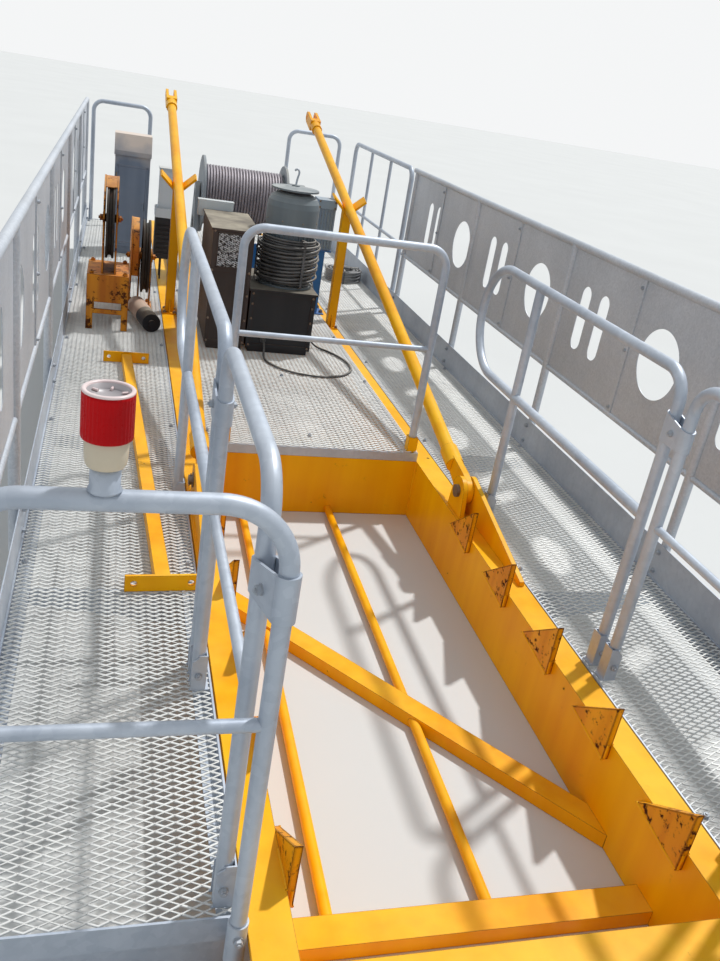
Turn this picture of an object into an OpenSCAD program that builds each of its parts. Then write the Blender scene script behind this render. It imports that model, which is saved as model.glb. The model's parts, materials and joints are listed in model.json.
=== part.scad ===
// Counter-jib of a tower crane: twin channel girders with a ballast pit at the
// rear, a machinery platform, two railed walkways and two stowed tie bars.
// X points right, Y points forward to the pivot end, Z points up.

/* [Jib frame] */
// Overall length from the rear beam to the tips of the pivot eyes
jib_len = 8800; // [8400:50:9600]
// Clear gap between the inner webs of the two girders
girder_gap = 1050; // [1000:10:1150]
// Depth of the girder channels
girder_h = 300; // [260:10:340]
// Width of the girder flanges
flange_w = 100; // [80:5:120]
// Web thickness of the girder channels
web_t = 10; // [8:1:14]
// Flange thickness of the girder channels
flange_t = 16; // [12:1:20]
// Root fillet of the girder channels
root_r = 14; // [8:1:20]
// Width of the rear end beam
end_beam_w = 120; // [100:5:160]
// Clear length of the ballast pit, from the rear end beam to the pit cross beam
pit_len = 2605; // [2400:10:2900]
// Wall of the closed box sections
box_wall = 6; // [4:1:10]
// Width of the cross beams that carry the platform
cross_beam_w = 100; // [80:5:140]
// Number of cross beams under the platform ahead of the pit cross beam
platform_beams = 3; // [2:1:4]

/* [Pivot eyes] */
// Bore of the pivot eyes
pivot_bore = 60; // [40:5:80]
// Outside diameter of the pivot eyes
pivot_eye_d = 180; // [140:10:220]
// Thickness of the pivot eye plates
pivot_eye_t = 40; // [30:5:60]
// Length of an eye plate ahead of the girder end
pivot_reach = 260; // [220:10:340]

/* [Ballast stops] */
// Number of stop teeth on each girder
stop_count = 5; // [3:1:6]
// Spacing of the stop teeth
stop_pitch = 405; // [300:5:420]
// Distance of the first tooth ahead of the rear end beam
stop_first = 185; // [100:5:260]
// Length of a tooth along the girder
stop_len = 214; // [160:2:240]
// Height of a tooth
stop_h = 190; // [150:5:220]
// Thickness of a tooth
stop_t = 20; // [12:1:30]
// Depth of a tooth below the girder top
stop_drop = 55; // [30:5:80]
// Rise of a tooth's lower edge towards the front
stop_rise = 25; // [0:5:40]

/* [Pit bracing] */
// Distance of the cross tube ahead of the rear end beam
tube_gap = 217; // [150:1:300]
// Width of the cross tube
cross_tube_w = 90; // [60:5:100]
// Height of the bracing tubes, which lie flush with the underside of the girders
brace_h = 50; // [40:5:80]
// Width of the diagonal brace tube
brace_w = 80; // [60:5:120]
// Distance of the brace's left end ahead of the rear end beam
brace_left = 1850; // [1600:10:2100]
// Distance of the brace's right end ahead of the rear end beam
brace_right = 543; // [450:1:700]
// Outside diameter of the two thin tie pipes
pipe_d = 34; // [26:2:42]

/* [Tie bars] */
// Length between the hinge pin and the fork bore
bar_len = 4700; // [4200:50:5200]
// Diameter of the round tie bars
bar_d = 64; // [50:2:80]
// Diameter of the hinge pins
pin_d = 40; // [30:2:50]
// Running clearance of a pin in its eye
pin_clear = 0.4; // [0.2:0.1:1]
// Thickness of the eye plate at the hinge end
eye_t = 30; // [20:2:40]
// Outside diameter of the eye plate
eye_d = 110; // [90:5:130]
// Distance of the hinge pin ahead of the pit front beam, negative is behind
pin_back = -525; // [-600:5:-450]
// Height of the hinge pin above the deck
pin_z = 102; // [90:2:130]
// Gap between the two fork cheeks at the free end
fork_gap = 42; // [30:2:50]
// Thickness of a fork cheek
fork_t = 20; // [14:1:26]
// Bore through the fork cheeks
fork_bore = 40; // [30:2:50]
// Thickness of a lug cheek
lug_t = 20; // [14:1:26]
// Side clearance of the eye plate between the cheeks
lug_clear = 2; // [1:0.5:4]
// Diameter of the round head of a lug cheek
lug_head_d = 130; // [110:5:150]
// Length of the gusset behind an outer lug cheek
gusset_len = 620; // [400:20:800]
// Sideways distance of the tie bars from the centre line
bar_x = 575; // [560:5:590]

/* [Saddle posts] */
// Distance of the posts ahead of the hinge pins
post_run = 2880; // [2500:20:3200]
// Side of the square post tube
post_w = 60; // [50:5:70]
// Height of the V bottom above the deck
saddle_z = 820; // [780:10:900]
// Length of one arm of the V
saddle_arm = 150; // [120:5:180]
// Width of the V arms along the jib
saddle_w = 90; // [60:5:120]
// Plate thickness of the V arms
saddle_t = 14; // [8:1:20]

/* [Walkways] */
// Width of each walkway
walk_w = 600; // [550:10:650]
// Gap between a girder flange and the walkway
walk_gap = 5; // [3:1:12]
// Distance of the walkway's rear end from the rear of the jib
walk_back = 250; // [230:10:300]
// Distance of the walkway's front end from the pivot tips
walk_front = 500; // [400:10:700]
// Leg of the edge angles
edge_leg = 50; // [40:5:60]
// Thickness of the edge angles
edge_t = 6; // [4:1:8]
// Height of the toe board above the deck
toe_h = 150; // [100:10:180]
// Thickness of the toe board
toe_t = 4; // [3:1:6]
// Thickness of the grating sheets
mesh_t = 6; // [4:1:10]
// Number of cantilever brackets under each walkway
bracket_count = 7; // [5:1:9]
// Plate thickness of the brackets
bracket_t = 12; // [8:1:16]
// Depth of a bracket at the girder
bracket_h = 160; // [120:10:200]
// Height of the platform frame above the deck
platform_h = 50; // [40:5:60]

/* [Railings] */
// Diameter of the main rail tubes
rail_d = 38; // [34:1:48]
// Diameter of the lighter middle rails
mid_d = 27; // [20:1:34]
// Bend radius of the rail corners
bend_r = 90; // [60:5:120]
// Bend radius of the rear rails
rear_bend_r = 125; // [90:5:150]
// Height of the rear rails above the deck
rear_rail_h = 1018; // [950:1:1100]
// Diameter of the rear rail tubes
rear_rail_d = 36; // [30:1:42]
// Distance of the rear rails' inner legs from the centre line
rear_in_x = 650; // [650:1:680]
// Height of the inner rails above the deck
rail_h = 1030; // [950:10:1150]
// Height of the inner middle rails above the deck
mid_h = 565; // [480:5:620]
// Height of the outer rails above the deck
outer_h = 1095; // [1050:5:1200]
// Height of a sign panel
panel_h = 600; // [500:10:700]
// Thickness of a sign panel
panel_t = 3; // [2:1:5]
// Diameter of the outer posts
post_d = 42; // [34:1:48]
// Length of the open side frame ahead of the right sign panel
side_frame_len = 1900; // [1700:20:2100]
// Height of a leg socket above the deck
socket_h = 120; // [80:5:150]
// Wall of a leg socket
socket_wall = 4; // [3:1:6]
// Clearance of a leg in its socket
socket_clear = 0.3; // [0.2:0.1:1]
// Height of the plate clamps that join two neighbouring legs
clamp_h = 95; // [70:5:120]
// Plate thickness of the clamps
clamp_t = 5; // [3:1:8]
// Distance of the platform rail's right leg from the centre line
rail_right_x = 492; // [440:1:500]
// Distance of the platform rail's left leg from the centre line
rail_left_x = 428; // [380:1:500]

/* [Warning light] */
// Diameter of the red lens
lens_d = 78; // [70:2:120]
// Height of the red lens
lens_h = 76; // [60:2:120]
// Height of the collar below the lens
collar_h = 46; // [30:2:70]
// Height of the stub tube below the collar
stub_h = 42; // [30:2:60]
// Distance of the light from the walkway's outer edge
light_in = 275; // [200:5:340]

/* [Stowed pieces] */
// Length of the strut that lies on the left walkway
strut_len = 2397; // [2200:1:2500]
// Diameter of the lying cylinder
canister_d = 116; // [80:2:130]

/* [Winch set] */
// Distance of the drum axis ahead of the pit cross beam
drum_ahead = 3560; // [3400:20:3800]
// Height of the drum axis above the platform
drum_rise = 600; // [560:10:700]
// Diameter of the rope layer on the drum
rope_layer_d = 460; // [380:10:520]
// Diameter of the drum flanges
drum_flange_d = 580; // [540:10:640]
// Length of the winding between the flanges
drum_len = 620; // [500:10:640]
// Thickness of a drum flange
drum_flange_t = 20; // [12:2:28]
// Diameter of the drum shaft
shaft_d = 70; // [50:5:90]
// Diameter of the motor's fan cowl
cowl_d = 316; // [290:2:330]
// Height of the whole motor
motor_h = 585; // [560:5:640]
// Distance of the motor stand ahead of the pit cross beam
stand_ahead = 1430; // [1300:10:1500]
// Height of the motor stand
stand_h = 390; // [340:10:440]
// Width of the motor stand
stand_w = 400; // [380:10:440]
// Depth of the motor stand along the jib
stand_l = 560; // [520:10:600]
// Height of the control cabinet
cabinet_h = 717; // [660:1:780]
// Width of the control cabinet
cabinet_w = 240; // [200:10:260]
// Depth of the control cabinet along the jib
cabinet_l = 640; // [580:10:680]
// Distance of the electrical cabinet ahead of the pit cross beam
locker_ahead = 4100; // [3900:10:4300]
// Height of the electrical cabinet on the left walkway
locker_h = 950; // [850:10:1050]
// Width of the electrical cabinet on the left walkway
locker_w = 280; // [240:10:300]

// Distance of the blue frame ahead of the pit cross beam
blue_ahead = 2500; // [2300:10:2700]
// Distance of the resistor stand ahead of the pit cross beam
resistor_ahead = 3300; // [3250:10:3400]

/* [Rope sheaves] */
// Distance of the tall sheave ahead of the pit cross beam
tall_ahead = 2000; // [1900:10:2100]
// Height of the tall sheave's axle above the deck
tall_z = 650; // [630:5:700]
// Distance of the low sheave ahead of the pit cross beam
low_ahead = 2425; // [2300:5:2500]
// Height of the low sheave's axle above the deck
low_z = 350; // [330:1:400]
// Diameter of the two rope sheaves
sheave_d = 480; // [420:10:500]
// Width of the sheave rims
sheave_w = 50; // [40:2:60]
// Depth of the rope groove
groove_r = 12; // [8:1:16]
// Bore of the sheaves
sheave_bore = 50; // [40:2:60]
// Thickness of the guard plates
guard_t = 10; // [6:1:12]
// Clearance between a sheave and its guard plates
guard_clear = 8; // [6:1:12]

/* [Loose lengths] */
// Diameter of the power cable
cable_d = 14; // [10:1:18]
// Outside diameter of the cable coil on the motor
coil_d = 400; // [380:5:420]
// Height of the cable coil on the motor
coil_h = 290; // [200:10:300]
// Distance of the cable coil on the right walkway ahead of the pit cross beam
pile_ahead = 3995; // [3800:5:4200]
// Outside diameter of the cable coil on the right walkway
pile_d = 360; // [300:10:380]
// Height of the cable coil on the right walkway
pile_h = 120; // [60:10:160]

/* [Hidden] */
$fn = 48;
seat = 0.3;
deck_z = girder_h;
girder_x = girder_gap / 2;
flange_x = girder_x + flange_w;
girder_back = end_beam_w;
girder_front = jib_len - pivot_reach + 60;
pit_front = end_beam_w + pit_len;
walk_in = flange_x + walk_gap;
walk_out = walk_in + walk_w;
walk_end = jib_len - walk_front;
platform_end = walk_end - 100;
platform_top = deck_z + platform_h;
pin_y = pit_front + pin_back;
pin_zz = deck_z + pin_z;
post_y = pin_y + post_run;
// The bar rests in a V whose arms stand at 45 degrees and lie along the bar,
// so the V's bottom line keeps this distance from the bar's axis
saddle_e = (bar_d / 2 + seat) * sqrt(2);
saddle_rise = saddle_z - pin_z;
bar_angle = atan2(saddle_rise, post_run) + asin(saddle_e / norm([post_run, saddle_rise]));
rail_x = walk_in + 45;
outer_x = walk_out + toe_t + post_d / 2 + seat;
rear_rail_y = walk_back - 45;
rear_leg_x = outer_x - 60;
rail_top = deck_z + rail_h;
mid_top = deck_z + mid_h;
outer_top = deck_z + outer_h;
yellow = "#f2a20c";
steel = "#a9adb0";
dark = "#26282b";

// Places a child that is drawn with its Y measured from the rear of the jib
module from_rear(y = 0) {
    translate([0, y - jib_len / 2, 0]) children();
}

// Draws a child on the right side and its mirror image on the left side
module both_sides() {
    children();
    mirror([1, 0, 0]) children();
}

// Channel outline with its web on the left and root fillets
module channel_outline(h, b, web, flange, fillet) {
    difference() {
        square([b, h]);
        translate([web, flange]) square([b, h - 2 * flange]);
    }
    for (s = [0, 1]) translate([web, s * h]) mirror([0, s]) translate([0, flange])
        difference() {
            square(fillet);
            translate([fillet, fillet]) circle(fillet);
        }
}

// Rectangular tube along X, centred in X
module box_tube_x(len, w, h, wall) {
    difference() {
        translate([-len / 2, 0, 0]) cube([len, w, h]);
        translate([-len / 2 - 1, wall, wall]) cube([len + 2, w - 2 * wall, h - 2 * wall]);
    }
}

// Quarter bend of a tube in the XZ plane, from +X to +Z
module bend_xz(r, d) {
    rotate([90, 0, 0]) rotate_extrude(angle = 90) translate([r, 0]) circle(d = d);
}

// Portal of bent tube in the XZ plane, standing on z = 0
module portal(span, height, d, r) {
    for (s = [-1, 1]) translate([s * span / 2, 0, 0]) cylinder(d = d, h = height - r);
    translate([-span / 2 + r, 0, height]) rotate([0, 90, 0]) cylinder(d = d, h = span - 2 * r);
    translate([span / 2 - r, 0, height - r]) bend_xz(r, d);
    mirror([1, 0, 0]) translate([span / 2 - r, 0, height - r]) bend_xz(r, d);
}

// Round bar along X that starts at the origin
module bar_x_dir(len, d) {
    rotate([0, 90, 0]) cylinder(d = d, h = len);
}

// Round bar along Y that starts at the origin
module bar_y_dir(len, d) {
    rotate([-90, 0, 0]) cylinder(d = d, h = len);
}

// Outline of a plate with one round end, along +X from the origin
module tongue_outline(reach, back, d) {
    translate([reach - d / 2, 0]) circle(d = d);
    translate([-back, -d / 2]) square([reach + back - d / 2, d]);
}

module girder() {
    from_rear(girder_back) {
        translate([girder_x, 0, 0]) rotate([90, 0, 0]) mirror([0, 0, 1])
            linear_extrude(girder_front - girder_back)
                channel_outline(girder_h, flange_w, web_t, flange_t, root_r);
        // Eye plate on the outer face of the web
        translate([girder_x + web_t, girder_front - girder_back, girder_h / 2])
            rotate([90, 0, 90]) linear_extrude(pivot_eye_t) difference() {
                tongue_outline(pivot_reach - 60, 300, pivot_eye_d);
                translate([pivot_reach - 60 - pivot_eye_d / 2, 0]) circle(d = pivot_bore);
            }
    }
}
module left_girder() { color(yellow) mirror([1, 0, 0]) girder(); }
module right_girder() { color(yellow) girder(); }

// Sockets for the legs of the platform rail, on the beam's top flange
platform_leg_y = 34;
square_socket = rail_d + 2 * socket_wall + 2 * socket_clear;
module pit_cross_beam() {
    color(yellow) from_rear(pit_front) {
        // The web faces the pit, the flanges point forward
        rotate([90, 0, 90]) translate([0, 0, -girder_x]) linear_extrude(girder_gap)
            channel_outline(girder_h, cross_beam_w, web_t, flange_t, root_r);
        // Upright stiffeners near both ends, chamfered past the root fillets
        both_sides() translate([girder_x - 75, web_t, flange_t]) rotate([90, 0, 90]) linear_extrude(12)
            polygon([[0, root_r], [root_r, 0], [cross_beam_w - web_t - 5, 0],
                [cross_beam_w - web_t - 5, girder_h - 2 * flange_t], [root_r, girder_h - 2 * flange_t],
                [0, girder_h - 2 * flange_t - root_r]]);
        for (x = [-rail_left_x, rail_right_x]) translate([x, platform_leg_y, girder_h]) difference() {
            translate([-square_socket / 2, -square_socket / 2, 0])
                cube([square_socket, square_socket, socket_h]);
            translate([0, 0, platform_h]) cylinder(d = rail_d + 2 * socket_clear, h = socket_h);
        }
    }
}

module rear_end_beam() {
    color(yellow) from_rear()
        box_tube_x(2 * flange_x, end_beam_w, girder_h, box_wall);
}

tube_front = end_beam_w + tube_gap + cross_tube_w;
module rear_cross_tube() {
    color(yellow) from_rear(tube_front - cross_tube_w)
        box_tube_x(girder_gap, cross_tube_w, brace_h, box_wall);
}

module platform_cross_beams() {
    span = platform_end - cross_beam_w - pit_front;
    color(yellow) for (i = [1 : platform_beams])
        from_rear(pit_front + i * span / platform_beams) rotate([90, 0, 90])
            translate([0, 0, -girder_x]) linear_extrude(girder_gap)
                channel_outline(girder_h, cross_beam_w, web_t, flange_t, root_r);
}

// The brace runs from the left girder rearward to the right girder
brace_run = brace_left - brace_right;
brace_angle = atan2(brace_run, -girder_gap);
module brace_envelope(hollow) {
    over = 2 * brace_w;
    long = norm([brace_run, girder_gap]) + 2 * over;
    from_rear(end_beam_w + brace_right) translate([girder_x, 0, 0]) rotate([0, 0, brace_angle])
        translate([-over, -brace_w / 2, 0]) difference() {
            cube([long, brace_w, brace_h]);
            if (hollow) translate([-1, box_wall, box_wall])
                cube([long + 2, brace_w - 2 * box_wall, brace_h - 2 * box_wall]);
        }
}
module pit_diagonal_brace() {
    color(yellow) intersection() {
        brace_envelope(true);
        from_rear(end_beam_w) translate([-girder_x, 0, 0]) cube([girder_gap, pit_len, brace_h]);
    }
}

// Each tie pipe is cut where it meets the brace and butts against its sides
pipe_ends = [[-367, -322], [76, 108]];
module pit_tie_pipes() {
    run = pit_front - tube_front;
    color(yellow) difference() {
        intersection() {
            for (e = pipe_ends) from_rear(tube_front) translate([e[0], 0, brace_h / 2])
                rotate([0, 0, -atan2(e[1] - e[0], run)]) translate([0, -pipe_d, 0])
                    bar_y_dir(run + 2 * pipe_d, pipe_d);
            from_rear(tube_front) translate([-girder_x, 0, 0]) cube([girder_gap, run, brace_h]);
        }
        brace_envelope(false);
    }
}

module ballast_stops() {
    color(yellow) both_sides() for (i = [0 : stop_count - 1])
        from_rear(end_beam_w + stop_first + i * stop_pitch)
            translate([girder_x - stop_t, 0, deck_z - stop_drop]) rotate([90, 0, 90])
                linear_extrude(stop_t) polygon([[0, 0], [stop_len, stop_rise], [0, stop_h]]);
}

lug_in = bar_x - eye_t / 2 - lug_clear - lug_t;
lug_out = bar_x + eye_t / 2 + lug_clear;
module tie_lugs() {
    head = lug_head_d / 2;
    foot = head + 18;
    color(yellow) both_sides() from_rear(pin_y) {
        // Inner cheek with a round head on a tapered foot
        translate([lug_in, 0, deck_z]) rotate([90, 0, 90]) linear_extrude(lug_t) difference() {
            union() {
                translate([0, pin_z]) circle(head);
                polygon([[-foot, 0], [foot, 0], [head, pin_z], [-head, pin_z]]);
            }
            translate([0, pin_z]) circle(d = pin_d + pin_clear);
        }
        // Outer cheek that runs on rearward as a long gusset
        translate([lug_out, 0, deck_z]) rotate([90, 0, 90]) linear_extrude(lug_t) difference() {
            union() {
                translate([0, pin_z]) circle(head);
                polygon([[foot, 0], [head, pin_z], [-head / 3, pin_z + head * 0.94],
                    [-gusset_len, lug_t], [-gusset_len, 0]]);
            }
            translate([0, pin_z]) circle(d = pin_d + pin_clear);
        }
    }
}

module tie_pins() {
    head = 14;
    color("#8f8a80") both_sides() from_rear(pin_y) translate([lug_in - seat, 0, pin_zz]) {
        translate([-head, 0, 0]) bar_x_dir(head, pin_d + 16);
        bar_x_dir(lug_out + lug_t - lug_in + 20, pin_d);
    }
}

module tie_bar() {
    fork_len = 190;
    plate_len = 230;
    sleeve_d = bar_d + 18;
    sleeve_len = 110;
    block = fork_gap + 2 * fork_t;
    from_rear(pin_y) translate([bar_x, 0, pin_zz]) rotate([bar_angle, 0, 0]) {
        // Eye plate at the hinge, let into a short sleeve
        translate([-eye_t / 2, 0, 0]) rotate([90, 0, 90]) linear_extrude(eye_t) difference() {
            union() {
                circle(d = eye_d);
                polygon([[0, -eye_d / 2], [eye_d / 2, -eye_d / 2], [plate_len, -sleeve_d / 2 + 6],
                    [plate_len, sleeve_d / 2 - 6], [eye_d / 2, eye_d / 2], [0, eye_d / 2]]);
            }
            circle(d = pin_d + pin_clear);
        }
        translate([0, plate_len - 50, 0]) bar_y_dir(sleeve_len, sleeve_d);
        // Round bar
        translate([0, plate_len, 0]) bar_y_dir(bar_len - plate_len - fork_len, bar_d);
        // Sleeve, block and the two fork cheeks at the free end
        translate([0, bar_len - fork_len - sleeve_len, 0]) bar_y_dir(sleeve_len + 10, sleeve_d);
        translate([-block / 2, bar_len - fork_len - 10, -sleeve_d / 2]) cube([block, 60, sleeve_d]);
        for (s = [-1, 1]) translate([s * (fork_gap + fork_t) / 2 - fork_t / 2, bar_len, 0])
            rotate([90, 0, 90]) linear_extrude(fork_t) difference() {
                tongue_outline(sleeve_d / 2, fork_len - 20, sleeve_d);
                circle(d = fork_bore);
            }
    }
}
module left_tie_bar() { color(yellow) mirror([1, 0, 0]) tie_bar(); }
module right_tie_bar() { color(yellow) tie_bar(); }

module saddle_posts() {
    foot_t = 10;
    inner = post_w - 2 * box_wall;
    color(yellow) both_sides() from_rear(post_y) translate([bar_x, 0, deck_z]) {
        // Foot plate with two gussets, square tube and the two arms of the V
        translate([-45, -post_w, 0]) cube([90, 2 * post_w, foot_t]);
        for (s = [0, 1]) mirror([0, s, 0]) translate([-6, post_w / 2 - 1, foot_t - 1])
            rotate([90, 0, 90]) linear_extrude(12) polygon([[0, 0], [post_w / 2, 0], [0, 1.6 * post_w]]);
        difference() {
            translate([-post_w / 2, -post_w / 2, foot_t])
                cube([post_w, post_w, saddle_z + post_w / 2 - foot_t]);
            translate([-inner / 2, -inner / 2, foot_t]) cube([inner, inner, saddle_z - post_w]);
            translate([0, 0, saddle_z]) rotate([bar_angle, 0, 0])
                translate([0, post_w, -saddle_t / 2]) rotate([90, 0, 0]) linear_extrude(2 * post_w)
                    polygon([[0, 0], [post_w, post_w], [-post_w, post_w]]);
        }
        translate([0, 0, saddle_z]) rotate([bar_angle, 0, 0]) translate([0, saddle_w / 2, 0])
            rotate([90, 0, 0]) linear_extrude(saddle_w) polygon(saddle_outline());
    }
}
function saddle_outline() =
    let (a = saddle_arm * sin(45), t = saddle_t * sqrt(2), c = saddle_t * sin(45))
    [[0, 0], [a, a], [a + c, a - c], [0, -t], [-a - c, a - c], [-a, a]];

module walkway_frame() {
    len = walk_end - walk_back;
    from_rear(walk_back) {
        // Edge angles along both sides
        translate([walk_in, 0, deck_z - edge_leg]) {
            cube([edge_t, len, edge_leg]);
            cube([edge_leg, len, edge_t]);
        }
        translate([walk_out - edge_t, 0, deck_z - edge_leg]) cube([edge_t, len, edge_leg]);
        translate([walk_out - edge_leg, 0, deck_z - edge_leg]) cube([edge_leg, len, edge_t]);
        // Toe board along the outer side
        translate([walk_out, 0, deck_z - edge_leg]) cube([toe_t, len, edge_leg + toe_h]);
        // Rear and front end plates
        for (y = [0, len - edge_t]) translate([walk_in, y, deck_z - edge_leg - 20])
            cube([walk_w, edge_t, edge_leg + 20]);
        // Tapered cantilever brackets that reach into the girder, up to its web
        for (i = [0 : bracket_count - 1])
            translate([0, 30 + i * (len - 60 - bracket_t) / (bracket_count - 1), 0])
                translate([0, bracket_t, 0]) rotate([90, 0, 0]) linear_extrude(bracket_t)
                    polygon([[girder_x + web_t, deck_z - edge_leg], [walk_out, deck_z - edge_leg],
                        [walk_out, deck_z - edge_leg - 50],
                        [girder_x + web_t, deck_z - edge_leg - bracket_h]]);
    }
}
// Folded plate round the foot of a pit rail leg, open to the walkway side, with
// a sloping top edge
module leg_bracket() {
    in = rail_d + 2 * socket_clear;
    out = in + 2 * socket_wall;
    difference() {
        union() {
            translate([-out / 2, -out / 2, 0]) cube([out - socket_wall, out, socket_h]);
            translate([-out / 2 - 10, -out / 2, 0]) cube([out + 10, out, socket_wall]);
        }
        translate([-in / 2, -in / 2, -1]) cube([out, in, socket_h + 2]);
        translate([0, -out, socket_h - 5]) rotate([0, 40, 0]) cube([2 * out, 2 * out, out]);
    }
}

// Sockets that hold the rail legs: brackets for the pit rails on the deck, and
// round sleeves behind the rear end plate for the rear rails
sleeve_drop = 70;
module walkway_sockets() {
    for (y = [frame2_back, frame2_front, frame1_back, frame1_leg]) from_rear(y)
        translate([rail_x, 0, deck_z]) leg_bracket();
    for (x = [rear_in_x, rear_leg_x]) from_rear(rear_rail_y)
        translate([x, 0, deck_z - sleeve_drop]) difference() {
            union() {
                cylinder(d = rear_rail_d + 2 * socket_wall + 2 * socket_clear, h = sleeve_drop + 45);
                translate([-8, 0, 0]) cube([16, walk_back - rear_rail_y + 1, sleeve_drop]);
            }
            translate([0, 0, 4]) cylinder(d = rear_rail_d + 2 * socket_clear, h = sleeve_drop + 45);
        }
}
module left_walkway_frame() { color(steel) mirror([1, 0, 0]) { walkway_frame(); walkway_sockets(); } }
module right_walkway_frame() { color(steel) { walkway_frame(); walkway_sockets(); } }

module walkway_mesh() {
    from_rear(walk_back + edge_t) translate([walk_in + edge_t, 0, deck_z - mesh_t])
        cube([walk_w - 2 * edge_t, walk_end - walk_back - 2 * edge_t, mesh_t]);
}
module left_walkway_mesh() { color("#c8cbc8") mirror([1, 0, 0]) walkway_mesh(); }
module right_walkway_mesh() { color("#c8cbc8") walkway_mesh(); }

// Room for the platform rail's sockets in the frame and the sheet
module platform_notches() {
    notch = square_socket + 2;
    from_rear(pit_front) for (x = [-rail_left_x, rail_right_x])
        translate([x - notch / 2, platform_leg_y - notch / 2, deck_z - 1])
            cube([notch, notch, platform_h + 2]);
}
module platform_frame() {
    len = platform_end - pit_front;
    color(steel) difference() {
        from_rear(pit_front) translate([-girder_x, 0, deck_z]) difference() {
            cube([girder_gap, len, platform_h - mesh_t]);
            for (s = [0, 1]) mirror([s, 0, 0]) translate([s * -girder_gap, 0, 0])
                translate([edge_t, edge_t, edge_t])
                    cube([girder_gap / 2 - edge_t, len - 2 * edge_t, platform_h]);
            translate([edge_leg, edge_leg, -1])
                cube([girder_gap - 2 * edge_leg, len - 2 * edge_leg, platform_h]);
        }
        platform_notches();
    }
}
module platform_mesh() {
    color("#c8cbc8") difference() {
        from_rear(pit_front) translate([-girder_x, 0, platform_top - mesh_t])
            cube([girder_gap, platform_end - pit_front, mesh_t]);
        platform_notches();
    }
}

// Openings of a sign panel: a repeating row of plain slots and round windows
module panel_openings(len) {
    step = 620;
    n = floor(len / step);
    first = (len - (n - 1) * step) / 2;
    for (i = [0 : n - 1]) translate([first + i * step, panel_h / 2])
        if (i % 2 == 0) circle(d = 300, $fn = 32);
        else for (s = [-1, 1]) translate([s * 90, 0]) {
            translate([-45, -110]) square([90, 220]);
            for (e = [-1, 1]) translate([0, e * 110]) circle(d = 90, $fn = 32);
        }
}

module sign_rail(y0, y1, feet) {
    len = y1 - y0;
    from_rear(y0) translate([outer_x, 0, 0]) {
        // Top rail, bottom rail and the panel between them
        translate([0, 0, outer_top]) bar_y_dir(len, rail_d);
        translate([0, 0, outer_top - panel_h - rail_d]) bar_y_dir(len, mid_d);
        translate([-panel_t / 2, 0, outer_top - panel_h - rail_d]) rotate([90, 0, 90])
            linear_extrude(panel_t) difference() {
                square([len, panel_h + rail_d]);
                translate([0, rail_d / 2]) panel_openings(len);
            }
        // Flat stiffeners on the walkway side of the panel, one in each bay
        for (i = [0 : feet - 2])
            translate([-panel_t / 2 - 6, 40 + (i + 0.5) * (len - 120) / (feet - 1),
                outer_top - panel_h - rail_d])
                cube([6, 40, panel_h + rail_d]);
        // Posts down past the toe board
        for (i = [0 : feet - 1]) translate([0, 60 + i * (len - 120) / (feet - 1), deck_z - edge_leg])
            cylinder(d = post_d, h = outer_h + edge_leg);
    }
}
left_panel_end = walk_end - 90;
right_panel_end = walk_end - side_frame_len - 600;
module left_sign_rail() {
    color(steel) mirror([1, 0, 0]) sign_rail(walk_back, left_panel_end, 6);
}
module right_sign_rail() { color(steel) sign_rail(walk_back, right_panel_end, 5); }

module front_rails() {
    mid_x = (rail_x + rear_leg_x) / 2;
    span = rear_leg_x - rail_x;
    color(steel) {
        // Portals that close both walkways at the front
        both_sides() from_rear(walk_end - 45) translate([mid_x, 0, deck_z])
            portal(span, outer_h, rail_d, bend_r);
        // Side frame on the right ahead of the sign panel
        from_rear(right_panel_end + 80)
            translate([walk_out + toe_t + rail_d / 2 + seat, 0, deck_z - edge_leg]) {
            rotate([0, 0, 90]) translate([side_frame_len / 2, 0, 0])
                portal(side_frame_len, outer_h + edge_leg, rail_d, bend_r);
            for (y = [1, 2]) translate([0, y * side_frame_len / 3, 0])
                cylinder(d = mid_d, h = outer_h + edge_leg);
            translate([0, 0, mid_h]) bar_y_dir(side_frame_len, mid_d);
        }
    }
}

// Rail across the rear end of a walkway
module rear_rail() {
    span = rear_leg_x - rear_in_x;
    foot = sleeve_drop - 4 - seat;
    from_rear(rear_rail_y) translate([rear_in_x + span / 2, 0, deck_z - foot]) {
        portal(span, rear_rail_h + foot, rear_rail_d, rear_bend_r);
        translate([-span / 2, 0, mid_h + foot]) bar_x_dir(span, mid_d);
    }
}
module left_rear_rail() { color(steel) mirror([1, 0, 0]) rear_rail(); }
module right_rear_rail() { color(steel) rear_rail(); }

// Two inner frames beside the ballast pit
frame1_front = pin_y + 470;
frame1_leg = frame1_front - 520;
frame1_back = frame1_front - 1560;
frame2_back = walk_back + 50;
frame2_front = frame1_back - 80;
clamp_z = rail_top - 210;
// The rear rail's leg stands a little inward of the pit rail's, and their clamp
// ends just below the rear rail's bend
rear_offset = [rear_in_x - rail_x, frame2_back - rear_rail_y];
rear_clamp_z = deck_z + rear_rail_h - rear_bend_r - clamp_h - 2;
// Plate folded round two legs that stand one behind the other, with a sloping
// top edge. It grips the leg at the origin and clears the other one.
module leg_clamp(gap, far_d, clear) {
    near_r = rail_d / 2 - 0.5;
    far_r = far_d / 2 + clear;
    difference() {
        linear_extrude(clamp_h) difference() {
            union() {
                circle(near_r + clamp_t);
                translate([0, gap]) circle(far_r + clamp_t);
                translate([-near_r - clamp_t, 0]) square([2 * (near_r + clamp_t), gap]);
            }
            circle(near_r);
            translate([0, gap]) circle(far_r);
            translate([-near_r + 1, 0]) square([2 * near_r - 2, gap]);
        }
        translate([-rail_d, -near_r - clamp_t, clamp_h - 30]) rotate([13, 0, 0])
            cube([2 * rail_d, gap + 4 * rail_d, clamp_h]);
    }
}

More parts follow.
